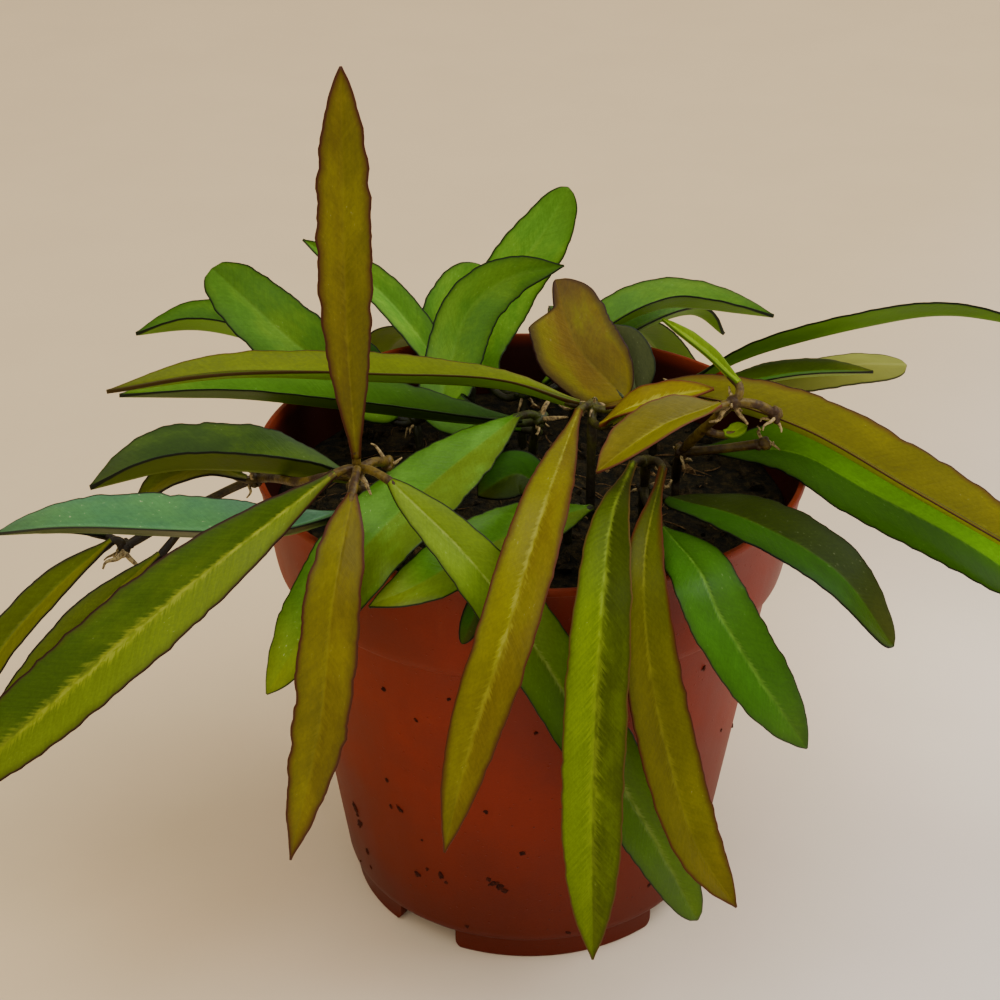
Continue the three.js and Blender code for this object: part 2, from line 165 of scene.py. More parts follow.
class ShaderTree:
    """One material's node tree, built with short calls.

    A value is a number or another node's output, and a colour may also be a code of six digits.
    """

    NOISE_SPAN = (0.3, 0.7)

    def __init__(self, name: str) -> None:
        """Start a material that has only its shader and output.

        Args:
            name: The material's name.
        """
        self.material = bpy.data.materials.new(name)
        self.material.use_nodes = True
        self.nodes = self.material.node_tree.nodes
        self.links = self.material.node_tree.links
        self.shader = self.nodes["Principled BSDF"]

    def feed(self, socket: Socket, value: object) -> None:
        """Link an output to an input, or set the input to a value or a colour.

        Args:
            socket: The input.
            value: The output, the value or the colour's code.
        """
        if isinstance(value, Socket):
            self.links.new(value, socket)
        else:
            socket.default_value = tone(value) if isinstance(value, str) else value

    def node(self, kind: str, settings: dict | None = None, inputs: dict | None = None) -> bpy.types.Node:
        """Add a node.

        Args:
            kind: The node's Blender type.
            settings: Its own properties.
            inputs: What its sockets are fed with, by name or number.

        Returns:
            The new node.
        """
        made = self.nodes.new(kind)
        for name, value in (settings or {}).items():
            setattr(made, name, value)
        for name, value in (inputs or {}).items():
            self.feed(made.inputs[name], value)
        return made

    def attribute(self, name: str) -> bpy.types.Node:
        """Return the node that reads a named attribute of the piece's mesh."""
        return self.node("ShaderNodeAttribute", {"attribute_name": name})

    def parts(self, vector: Socket) -> tuple[Socket, ...]:
        """Return the three outputs of a vector that is taken apart."""
        return tuple(self.node("ShaderNodeSeparateXYZ", inputs={0: vector}).outputs)

    def vector(self, x: object, y: object, z: object) -> Socket:
        """Return a vector put together from three values."""
        return self.node("ShaderNodeCombineXYZ", inputs={0: x, 1: y, 2: z}).outputs[0]

    def math(self, operation: str, *values: object) -> Socket:
        """Return the output of a Math node with an operation and one to three values."""
        return self.node("ShaderNodeMath", {"operation": operation}, dict(enumerate(values))).outputs[0]

    def times(self, first: object, second: object) -> Socket:
        """Return the product of two values."""
        return self.math("MULTIPLY", first, second)

    def plus(self, first: object, second: object) -> Socket:
        """Return the sum of two values."""
        return self.math("ADD", first, second)

    def minus(self, first: object, second: object) -> Socket:
        """Return the first value less the second."""
        return self.math("SUBTRACT", first, second)

    def distance(self, x: object, y: object) -> Socket:
        """Return the length of a flat step from its two parts."""
        return self.math("SQRT", self.plus(self.times(x, x), self.times(y, y)))

    def fade(self, value: object, low: object, high: object, first: object = 0.0,
             second: object = 1.0) -> Socket:
        """Return a smooth step from first to second while the value goes from low to high."""
        settings = {"interpolation_type": "SMOOTHSTEP"}
        return self.node("ShaderNodeMapRange", settings,
                         {0: value, 1: low, 2: high, 3: first, 4: second}).outputs[0]

    def spread(self, pattern: Socket, first: object, second: object) -> Socket:
        """Return a smooth step over the range in which a noise mostly lies."""
        return self.fade(pattern, *self.NOISE_SPAN, first, second)

    def mix(self, share: object, first: object, second: object) -> Socket:
        """Return the mix of two colours, with the first at a share of 0 and the second at 1."""
        settings = {"data_type": "RGBA", "blend_type": "MIX", "clamp_factor": True}
        return self.node("ShaderNodeMix", settings, {0: share, 6: first, 7: second}).outputs[2]

    def noise(self, vector: object, scale: float, detail: float = 2.0, roughness: float = 0.5) -> Socket:
        """Return a noise around 0.5, with scale features in a unit of length and finer layers."""
        return self.node("ShaderNodeTexNoise", inputs={
            "Vector": vector, "Scale": scale, "Detail": detail, "Roughness": roughness}).outputs[0]

    def grains(self, vector: object, scale: float, low: float, high: float) -> Socket:
        """Return a mask of scattered grains, 1 up to low from a cell's middle and 0 past high."""
        cells = self.node("ShaderNodeTexVoronoi", inputs={"Vector": vector, "Scale": scale})
        return self.fade(cells.outputs["Distance"], low, high, 1.0, 0.0)

    def brighten(self, colour: object, value: object) -> Socket:
        """Return a colour made brighter or darker by a value around 1."""
        return self.node("ShaderNodeHueSaturation", inputs={"Color": colour, "Value": value}).outputs[0]

    def vary(self, colour: object, pattern: Socket, low: float, high: float) -> Socket:
        """Return a colour whose brightness goes from low to high over a noise's range."""
        return self.brighten(colour, self.spread(pattern, low, high))

    def local(self, stretch: Point = (1.0, 1.0, 1.0)) -> Socket:
        """Return the piece's own coordinates in millimetres, stretched along each axis."""
        place = self.node("ShaderNodeTexCoord").outputs["Object"]
        scale = tuple(s / MM for s in stretch)
        return self.node("ShaderNodeMapping", inputs={"Vector": place, "Scale": scale}).outputs[0]

    def finish(self, colour: Socket, roughness: object, height: Socket, relief: float,
               gleam: float = 0.5) -> Material:
        """Join the colour, the roughness and the relief to the shader.

        Args:
            colour: The surface colour.
            roughness: The roughness.
            height: The output that gives the relief, from 0 to 1.
            relief: The height of the relief in millimetres.
            gleam: The strength of the surface's gloss.

        Returns:
            The finished material.
        """
        bump = self.node("ShaderNodeBump", inputs={"Distance": relief * MM, "Height": height})
        values = {"Base Color": colour, "Roughness": roughness, "Normal": bump.outputs[0],
                  "Specular IOR Level": gleam}
        for name, value in values.items():
            self.feed(self.shader.inputs[name], value)
        return self.material


class BladeTree(ShaderTree):
    """A leaf's node tree, which also reads the blade's own attributes and patterns.

    Places across and along the blade are in millimetres, and share goes from the stalk to the tip.
    """

    VEIN_SLANT = 1.1
    VEIN_SCALES = (1.3, 0.22)
    PATCH_SCALES = (0.13, 0.05)
    GRAIN_SCALES = (2.2, 1.1)

    def __init__(self, name: str) -> None:
        """Start the material and read what lies on the blade.

        Args:
            name: The material's name.
        """
        super().__init__(name)
        self.signed, self.along, self.half = self.parts(self.attribute("blade").outputs["Vector"])
        self.share, self.upper, self.shade = self.parts(self.attribute("growth").outputs["Vector"])
        self.seed = self.attribute("leaf_seed").outputs["Fac"]
        self.across = self.math("ABSOLUTE", self.signed)
        self.inset = self.minus(self.half, self.across)
        slant = self.minus(self.along, self.times(self.across, self.VEIN_SLANT))
        self.veins = self.pattern(slant, self.signed, self.VEIN_SCALES, 4.0, 0.65)
        self.patches = self.pattern(self.signed, self.along, self.PATCH_SCALES, 4.0, 0.6)
        self.grain = self.pattern(self.signed, self.along, self.GRAIN_SCALES, 2.0)

    def pattern(self, first: Socket, second: Socket, scales: Point, detail: float,
                roughness: float = 0.5) -> Socket:
        """Return a noise that differs from leaf to leaf.

        Args:
            first: The first place that it is read at.
            second: The second place.
            scales: How many features there are in a millimetre of each.
            detail: How many finer layers are added.
            roughness: How strong the finer layers are.

        Returns:
            The value's socket.
        """
        where = self.vector(self.times(first, scales[0]), self.times(second, scales[1]), self.seed)
        return self.noise(where, 1.0, detail, roughness)


@dataclass(frozen=True)
class LeafFinish:
    """The waxy skin of one kind of leaf. Widths are in millimetres across the blade."""

    left: str
    right: str
    under: str
    margin: str = "4a2406"
    margin_width: float = 0.9
    margin_share: float = 0.5
    rim: str = "4a2410"
    rim_width: float = 0.3
    streak: str = "847e1d"
    streak_width: float = 1.0
    streak_share: float = 0.3
    tip: str = "4a4a10"
    tip_share: float = 0.35
    heel: str = "4a4e0a"
    heel_share: float = 0.0
    heel_reach: float = 0.35
    cloud: str = "7a8a18"
    cloud_share: float = 0.0
    groove: float = 0.5
    crease_shade: float = 0.0
    veining: float = 0.05
    edge_shade: float = 0.82
    mottle: float = 0.14
    flecks: float = 0.12
    roughness: float = 0.46
    gleam: float = 0.12

    RIB_BLUR = 0.35
    CLOUD_SPAN = (0.42, 0.64)
    TIP_FROM = 0.72
    GRAIN_STRENGTH = (0.93, 1.07)
    FEATHER_SPAN = (0.38, 0.66)
    FEATHER_START = (0.15, 0.55)
    FEATHER_END = (0.6, 0.98)
    DASH_SCALES = (0.9, 0.35)
    DASH_SPAN = (0.36, 0.62)
    FLECK = "c8cf9a"
    EDGE_REACH = 2.6
    CREASE_SHADE_SPAN = (0.12, 0.4)
    KEEL_SPAN = (0.3, 0.9)
    GROOVE_REACH = 0.7
    GLOSS_STRAY = (-0.06, 0.14)
    RELIEF = 0.2

    def ground(self, tree: BladeTree) -> Socket:
        """Return the upper side's ground, with its clouds, heel, tip, mottling and veins.

        Args:
            tree: The leaf's node tree.

        Returns:
            The colour's socket.
        """
        skin = tree.mix(tree.fade(tree.signed, -self.RIB_BLUR, self.RIB_BLUR), self.left, self.right)
        skin = tree.mix(tree.fade(tree.patches, *self.CLOUD_SPAN, 0.0, self.cloud_share), skin, self.cloud)
        skin = tree.mix(tree.fade(tree.share, 0.0, self.heel_reach, self.heel_share, 0.0), skin, self.heel)
        skin = tree.mix(tree.fade(tree.share, self.TIP_FROM, 1.0, 0.0, self.tip_share), skin, self.tip)
        skin = tree.vary(skin, tree.patches, 1 - self.mottle, 1 + self.mottle)
        skin = tree.vary(skin, tree.veins, 1 - self.veining, 1 + self.veining)
        return tree.vary(skin, tree.grain, *self.GRAIN_STRENGTH)

    def feather(self, tree: BladeTree, skin: Socket) -> Socket:
        """Add the pale feathered streak along the rib, and the pale flecks.

        Args:
            tree: The leaf's node tree.
            skin: The colour so far.

        Returns:
            The colour's socket.
        """
        narrow, broad = self.streak_width * 0.5, self.streak_width * 1.3
        reach = tree.fade(tree.veins, *self.FEATHER_SPAN, narrow, broad)
        reach = tree.times(reach, tree.fade(tree.share, *self.FEATHER_START, 0.35, 1.0))
        streak = tree.fade(tree.across, tree.times(reach, 0.1), reach, self.streak_share, 0.0)
        dashes = tree.pattern(tree.signed, tree.along, self.DASH_SCALES, 3.0)
        dashes = tree.fade(dashes, *self.DASH_SPAN, 0.35, 1.0)
        ending = tree.fade(tree.share, *self.FEATHER_END, 1.0, 0.15)
        streak = tree.times(tree.times(streak, dashes), ending)
        skin = tree.mix(streak, skin, self.streak)
        specks = tree.times(tree.fade(tree.grain, 0.68, 0.76), tree.fade(tree.patches, 0.48, 0.6))
        return tree.mix(tree.times(specks, self.flecks), skin, self.FLECK)

    def border(self, tree: BladeTree, skin: Socket) -> Socket:
        """Add the uneven dark margin, the painted shade towards the rim and the painted shade in the crease
        over the rib.

        Args:
            tree: The leaf's node tree.
            skin: The colour so far.

        Returns:
            The colour's socket.
        """
        band = tree.spread(tree.patches, self.margin_width * 0.5, self.margin_width * 1.5)
        margin = tree.fade(tree.inset, tree.times(band, 0.1), band, self.margin_share, 0.0)
        skin = tree.mix(margin, skin, self.margin)
        # Painted shade towards the rim.
        skin = tree.brighten(skin, tree.fade(tree.inset, 0.0, self.EDGE_REACH, self.edge_shade, 1.0))
        # Painted shade along the crease over the rib, in the rim's colour.
        return tree.mix(tree.fade(tree.across, *self.CREASE_SHADE_SPAN, self.crease_shade, 0.0), skin, self.rim)

    def build(self, name: str) -> Material:
        """Build the material.

        Args:
            name: The leaf kind's name.

        Returns:
            The finished material.
        """
        tree = BladeTree(f"leaf_{name}")
        top = self.border(tree, self.feather(tree, self.ground(tree)))
        below = tree.vary(self.under, tree.patches, 0.86, 1.14)
        below = tree.mix(tree.fade(tree.across, *self.KEEL_SPAN, 0.4, 0.0), below, self.streak)
        rim = tree.fade(tree.inset, self.rim_width * 0.5, self.rim_width * 1.5, 1.0, 0.0)
        top, below = (tree.mix(rim, side, self.rim) for side in (top, below))
        # Each leaf's shade factor scales its brightness: partly its own tone, partly painted light and shade.
        skin = tree.brighten(tree.mix(tree.fade(tree.upper, 0.4, 0.6), below, top), tree.shade)
        groove = tree.fade(tree.across, 0.0, self.GROOVE_REACH, 0.0, self.groove)
        height = tree.plus(tree.times(tree.veins, 0.3), tree.plus(groove, tree.times(tree.grain, 0.14)))
        dull = tree.plus(tree.patches, tree.times(tree.upper, -0.25))
        gloss = tree.fade(dull, 0.05, 0.75, *(self.roughness + stray for stray in self.GLOSS_STRAY))
        return tree.finish(skin, gloss, height, self.RELIEF, self.gleam)


@dataclass(frozen=True)
class StemFinish:
    """The skin of stems, stalks and knots, with painted shade that darkens them near the soil."""

    young: str
    old: str
    # foot: the colour of the painted shade near the soil.
    foot: str = "140f05"

    SOIL_SHADE_SPAN = (104.0, 124.0)

    def build(self, name: str) -> Material:
        """Build the material.

        Args:
            name: The bark kind's name.

        Returns:
            The finished material.
        """
        tree = ShaderTree(f"stem_{name}")
        patches = tree.noise(tree.local(), 0.28, 3.0, 0.6)
        rings = tree.noise(tree.local(), 1.6)
        height = tree.parts(tree.local())[2]
        skin = tree.mix(tree.fade(patches, 0.38, 0.62), self.young, self.old)
        skin = tree.vary(skin, rings, 0.8, 1.15)
        # Painted shade under the leaves, darker towards the soil.
        skin = tree.mix(tree.fade(height, *self.SOIL_SHADE_SPAN, 0.85, 0.0), skin, self.foot)
        return tree.finish(skin, tree.spread(patches, 0.42, 0.6), rings, 0.16, 0.25)


@dataclass(frozen=True)
class RootFinish:
    """The dry skin of the stub roots that grow from the knots."""

    dry: str = "a48e5c"
    shaded: str = "544222"

    def build(self) -> Material:
        """Build the material.

        Returns:
            The finished material.
        """
        tree = ShaderTree("aerial_root")
        fibres = tree.noise(tree.local(), 1.3, 3.0, 0.6)
        skin = tree.mix(tree.fade(fibres, 0.35, 0.65), self.shaded, self.dry)
        return tree.finish(skin, 0.75, fibres, 0.12)


@dataclass(frozen=True)
class PotFinish:
    """Matte moulded plastic with dry soil dust, faint water marks, a shaded inner wall, painted shade towards
    the bottom and painted light along the rim.
    """

    body: str = "7a2104"
    rim_light: str = "8e3a1a"
    deep: str = "6c1b03"
    low: str = "340c02"
    dust: str = "3a140a"
    chalk: str = "863c22"
    shaded: str = "2a0a04"

    DRAFT = 0.165
    WALL_MIDDLE = 41.4
    SHOULDER = 88.0
    RIM_LIGHT_SPAN = (105.0, 108.4)
    LIT_SPAN = (105.0, 108.3)
    LOW_SHADE_SPAN = (0.0, 70.0)
    SPOT_SPAN = (20.0, 60.0)

    def inner_wall(self, tree: ShaderTree) -> Socket:
        """Return a mask of the wall's inner side above the shoulder, weak at the rim.

        Args:
            tree: The pot's node tree.

        Returns:
            The mask's socket.
        """
        x, y, height = tree.parts(tree.local())
        wall = tree.plus(tree.times(height, self.DRAFT), self.WALL_MIDDLE)
        inner = tree.fade(tree.minus(tree.distance(x, y), wall), -0.4, 0.4, 1.0, 0.0)
        inner = tree.times(inner, tree.fade(height, self.SHOULDER - 1, self.SHOULDER))
        return tree.times(inner, tree.fade(height, *self.LIT_SPAN, 0.95, 0.2))

    def build(self) -> Material:
        """Build the material.

        Returns:
            The finished material.
        """
        tree = ShaderTree("pot_plastic")
        height = tree.parts(tree.local())[2]
        clouds = tree.noise(tree.local(), 0.035, 4.0, 0.55)
        runs = tree.noise(tree.local((1.0, 1.0, 0.12)), 0.16, 4.0, 0.6)
        grain = tree.noise(tree.local(), 2.4, 3.0, 0.6)
        spots = tree.grains(tree.local(), 0.42, 0.07, 0.13)
        skin = tree.mix(tree.fade(clouds, 0.35, 0.65), self.deep, self.body)
        skin = tree.mix(tree.fade(runs, 0.55, 0.75, 0.0, 0.14), skin, self.chalk)
        # Painted shade: darker towards the bottom.
        skin = tree.mix(tree.fade(height, *self.LOW_SHADE_SPAN, 0.66, 0.0), skin, self.low)
        # Painted light: lighter along the rim's top.
        skin = tree.mix(tree.fade(height, *self.RIM_LIGHT_SPAN, 0.0, 0.35), skin, self.rim_light)
        skin = tree.mix(self.inner_wall(tree), skin, self.shaded)
        skin = tree.vary(skin, grain, 0.94, 1.06)
        where = tree.times(tree.fade(clouds, 0.5, 0.62), tree.fade(height, *self.SPOT_SPAN, 1.0, 0.3))
        skin = tree.mix(tree.times(tree.times(spots, where), 0.85), skin, self.dust)
        gloss = tree.fade(tree.plus(clouds, tree.times(runs, 0.4)), 0.4, 0.95, 0.46, 0.6)
        return tree.finish(skin, gloss, tree.plus(tree.times(grain, 0.4), spots), 0.08, 0.16)


@dataclass(frozen=True)
class SoilFinish:
    """One part of the coir and bark mix: its ground, its chips, its fibres or its crust on the pot."""

    name: str
    dark: str
    light: str
    scale: float

    def build(self) -> Material:
        """Build the material.

        Returns:
            The finished material.
        """
        tree = ShaderTree(f"soil_{self.name}")
        clumps = tree.noise(tree.local(), self.scale, 5.0, 0.7)
        crumbs = tree.noise(tree.local(), self.scale * 5, 3.0, 0.7)
        skin = tree.mix(tree.fade(clumps, 0.4, 0.68), self.dark, self.light)
        skin = tree.vary(skin, crumbs, 0.55, 1.35)
        return tree.finish(skin, 0.9, tree.plus(clumps, crumbs), 0.7, 0.15)


@dataclass(frozen=True)
class Glow:
    """A round pool of painted light on the floor, in millimetres."""

    x: float
    y: float
    inner: float
    outer: float


@dataclass(frozen=True)
class PaperFinish:
    """The pale floor, warm, with painted light that makes it cooler and brighter to the right, and two soft
    pools of painted light.
    """

    warm: str = "dcc49c"
    cool: str = "f2eae6"
    glows: tuple[Glow, ...] = (Glow(110.0, 70.0, 15.0, 90.0), Glow(-90.0, -90.0, 50.0, 105.0))

    SLANT = 0.6
    COOL_SPAN = (-120.0, 260.0)
    GLOW_STRENGTH = 1.24

    def build(self) -> Material:
        """Build the material.

        Returns:
            The finished material.
        """
        tree = ShaderTree("studio_paper")
        x, y, _ = tree.parts(tree.local())
        side = tree.minus(x, tree.times(y, self.SLANT))
        grain = tree.noise(tree.local(), 0.02, 4.0, 0.6)
        # Painted light: cooler and brighter towards the right.
        skin = tree.mix(tree.fade(side, *self.COOL_SPAN), self.warm, self.cool)
        # Painted pools of light.
        for glow in self.glows:
            reach = tree.distance(tree.minus(x, glow.x), tree.minus(y, glow.y))
            shine = tree.fade(reach, glow.inner, glow.outer, self.GLOW_STRENGTH, 1.0)
            skin = tree.brighten(skin, shine)
        skin = tree.vary(skin, grain, 0.985, 1.015)
        return tree.finish(skin, 0.85, grain, 0.05)


class Skin(Enum):
    """The kinds of leaf on this plant, each with the colours of its left half, right half and underside; a
    large difference between the halves is partly painted light and shade on the folded blade.
    """

    BRONZE = LeafFinish("5c5205", "5e5804", "5e5a0a", margin_width=1.5, margin_share=0.7, rim="3e1c0c",
                        rim_width=0.45, streak_width=1.2, streak_share=0.25, tip="615007", cloud="716d08",
                        cloud_share=0.35)
    STREAKED = LeafFinish("61720a", "395104", "585a08", margin="3c3a05", margin_width=1.6, rim="2c140a",
                          rim_width=0.42, streak="98a02c", streak_width=1.9, streak_share=0.72,
                          cloud="596908", cloud_share=0.3, veining=0.09, mottle=0.1)
    HONEY = LeafFinish("685c09", "6c6808", "4c5c0a", margin="4a2208", margin_width=1.4, margin_share=0.75,
                       rim_width=0.32, streak="9e9d35", streak_width=1.3, streak_share=0.5, tip="615b08",
                       heel="7d710a", heel_share=0.3, cloud="626308", cloud_share=0.35, gleam=0.08)
    OLIVE_GOLD = LeafFinish("626108", "605c07", "4c5c0a", margin="4a2408", margin_width=1.3,
                            margin_share=0.75, rim_width=0.32, streak="8f902e", streak_width=1.2,
                            tip="664c08", heel="313d04", heel_share=0.95, heel_reach=0.62, gleam=0.05)
    # FEATHERED's dark heel is painted shade where the leaf rises from under others.
    FEATHERED = LeafFinish("404c07", "657c07", "5a640a", margin="3a3406", margin_width=1.0,
                           margin_share=0.6, rim="503c18", streak="98ac34", streak_width=2.2,
                           streak_share=0.36, tip="414305", heel="2c3603", heel_share=0.9, heel_reach=0.6,
                           cloud="7c9608", cloud_share=0.18, veining=0.1, mottle=0.09, gleam=0.05)
    DUSK = LeafFinish("6a6c07", "546104", "525208", margin="241904", margin_share=0.8, rim="140c08",
                      rim_width=0.4, streak="868521")
    DEEP = LeafFinish("232f04", "234705", "4a5a0c", margin="131a04", margin_width=0.7, margin_share=0.7,
                      rim="0e0e06", streak="557724", streak_share=0.15, groove=0.3, gleam=0.06)
    LEAFY = LeafFinish("375408", "2c4407", "4a5a0c", margin="151a04", margin_width=0.8, margin_share=0.7,
                       rim="14180a", streak="798d30", streak_width=1.2, cloud="4c6410", cloud_share=0.4,
                       crease_shade=0.7)
    FRESH = LeafFinish("315b04", "326003", "6a8a19", margin="263b04", margin_width=0.6, rim="20240a",
                       rim_width=0.25, streak="7ea83c", tip="3d4912", edge_shade=0.75, gleam=0.15)
    # SUNNY is painted brighter, as a leaf in the light, with a painted bluish sheen in its colours.
    SUNNY = LeafFinish("507e20", "4a7516", "669419", margin="223d04", rim="18220a", rim_width=0.38,
                       streak="80a33c", streak_share=0.15, tip="496b0a", cloud="6e870f", cloud_share=0.3,
                       groove=0.2, edge_shade=0.72, mottle=0.18, gleam=0.08)
    # LIME's bright underside is partly painted light shining through the leaf.
    LIME = LeafFinish("4a6c05", "687509", "72a10a", margin="5a3208", margin_share=0.55, rim="3c2c0c",
                      rim_width=0.25, streak="637516", streak_width=0.6, cloud="6a7f09", cloud_share=0.2,
                      crease_shade=0.7)
    # Its bright and dark halves are painted light and shade on the folded blade.
    TWO_GREEN = LeafFinish("6caa05", "355b08", "4a6a0c", margin="263604", margin_width=0.8,
                           margin_share=0.6, rim="10140a", streak="75a227", streak_width=0.9, heel="234006",
                           heel_share=0.92, heel_reach=0.5, gleam=0.07)
    # GLOSS's lighter, bluer clouds are painted sheen.
    GLOSS = LeafFinish("566e0e", "45720c", "5a7e21", margin="223405", margin_width=0.6, margin_share=0.3,
                       rim="1c240c", rim_width=0.25, streak="84a34a", streak_width=0.8, streak_share=0.08,
                       tip="8c941c", tip_share=0.6, cloud="568426", cloud_share=0.45, groove=0.05,
                       edge_shade=0.76, flecks=0.5, roughness=0.38, gleam=0.1)
    LEEK = LeafFinish("4c6c0a", "3e5f08", "5a7418", margin="2c3c0a", margin_width=0.8, rim="1c200a",
                      rim_width=0.25, streak="9cac50", streak_width=1.2, streak_share=0.45, tip="3a4c0c",
                      heel="6c8414", heel_share=0.95, heel_reach=0.5)
    GLADE = LeafFinish("527e0d", "4c780c", "3c5a0c", margin="22380a", margin_width=0.7, rim="141c08",
                       streak="6c9030", streak_width=0.8, streak_share=0.15, tip="7c9a18", heel="1e3a08",
                       heel_share=0.95, heel_reach=0.7, crease_shade=0.6)
    # Its bluish teal is a painted sheen over the leaf's green.
    TEAL = LeafFinish("42743c", "3f7646", "3a4a18", margin="24380c", margin_width=0.6, margin_share=0.4,
                      rim="141c0a", streak="86a858", streak_width=0.8, streak_share=0.1, cloud="4f8230",
                      cloud_share=0.35, groove=0.1, flecks=0.5, roughness=0.42, gleam=0.3)
    LONG_GOLD = LeafFinish("6b6608", "626005", "8b940a", margin="582406", margin_width=1.5,
                           margin_share=0.65, rim="34180a", streak="8d8d2b", streak_width=0.9,
                           streak_share=0.4, tip="4a3c08", crease_shade=0.6)
    BROWN = LeafFinish("6a5409", "685608", "5a4a0d", margin="3a2014", margin_width=2.4, margin_share=0.7,
                       rim="2a1410", rim_width=0.35, streak="837927", streak_width=1.2, streak_share=0.2,
                       tip="4a2c14", tip_share=0.6, heel="786d08", heel_share=0.7, cloud="63660a",
                       cloud_share=0.6, groove=0.2, mottle=0.26)
    PALE = LeafFinish("727628", "727628", "848838", margin="4a4c1c", margin_width=0.7, rim="34361c",
                      streak="9a9e4d")
    GOLD = LeafFinish("716d09", "665e10", "8a8a10", margin="5c3014", margin_share=0.7, rim="5e3424",
                      rim_width=0.25, streak="a29c35", streak_share=0.4, tip="715c0d")
    SPRING = LeafFinish("7c9a0d", "74920f", "8aa41e", margin="5a7a0a", margin_width=0.4, rim="4c6a14",
                        rim_width=0.25, streak="a4c043", streak_width=0.8, streak_share=0.4, tip="6a8a10")
    SLATE = LeafFinish("444c26", "404724", "5a6a2a", margin="2a2d13", margin_width=0.7, margin_share=0.6,
                       rim="1c2418", streak="747e59", roughness=0.45)


class Bark(Enum):
    """The kinds of stem on this plant."""

    RUSSET = StemFinish(young="5e4c12", old="34200a")
    OLIVE = StemFinish(young="484610", old="2c220a")
    GREEN = StemFinish(young="3e4c10", old="2c280a")


class Taper(Enum):
    """How a leaf's outline closes at both ends: low is full and round, high is drawn out."""

    POINTED = 0.95
    PLAIN = 0.78
    ROUNDED = 0.52
    BLUNT = 0.4


class Path:
    """A smooth line through a few points, measured along its own length."""

    DIVISIONS = 160
    STEP = 1e-3

    def __init__(self, points: Sequence[Sequence[float]]) -> None:
        """Measure the line.

        Args:
            points: The points that the line goes through, in millimetres.
        """
        given = [Vector(p) for p in points]
        self.points = [2 * given[0] - given[1], *given, 2 * given[-1] - given[-2]]
        self.reach = [0.0]
        before = self._at(0.0)
        for i in range(1, self.DIVISIONS + 1):
            here = self._at(i / self.DIVISIONS)
            self.reach.append(self.reach[-1] + (here - before).length)
            before = here
        self.length = self.reach[-1]

    def _at(self, share: float) -> Vector:
        """Work out the point at a share of the line's parameter.

        Args:
            share: The share, from 0 to 1.

        Returns:
            The point in millimetres.
        """
        spans = len(self.points) - 3
        whole = min(max(int(share * spans), 0), spans - 1)
        t = share * spans - whole
        p0, p1, p2, p3 = self.points[whole:whole + 4]
        slope, end_slope = (p2 - p0) / 2, (p3 - p1) / 2
        return ((2 * p1 - 2 * p2 + slope + end_slope) * t ** 3
                + (3 * p2 - 3 * p1 - 2 * slope - end_slope) * t ** 2 + slope * t + p1)

    def _parameter(self, share: float) -> float:
        """Work out the parameter at a share of the line's length.

        Args:
            share: The share, from 0 to 1.

        Returns:
            The parameter, from 0 to 1.
        """
        target = min(max(share, 0.0), 1.0) * self.length
        high = next((i for i, r in enumerate(self.reach) if r >= target and i), self.DIVISIONS)
        low = self.reach[high - 1]
        inside = (target - low) / max(self.reach[high] - low, 1e-9)
        return (high - 1 + inside) / self.DIVISIONS

    def place(self, share: float) -> Vector:
        """Return the point at a share of the line's length."""
        return self._at(self._parameter(share))

    def heading(self, share: float) -> Vector:
        """Return the line's direction at a share of its length."""
        t = self._parameter(share)
        return (self._at(min(t + self.STEP, 1.0)) - self._at(max(t - self.STEP, 0.0))).normalized()


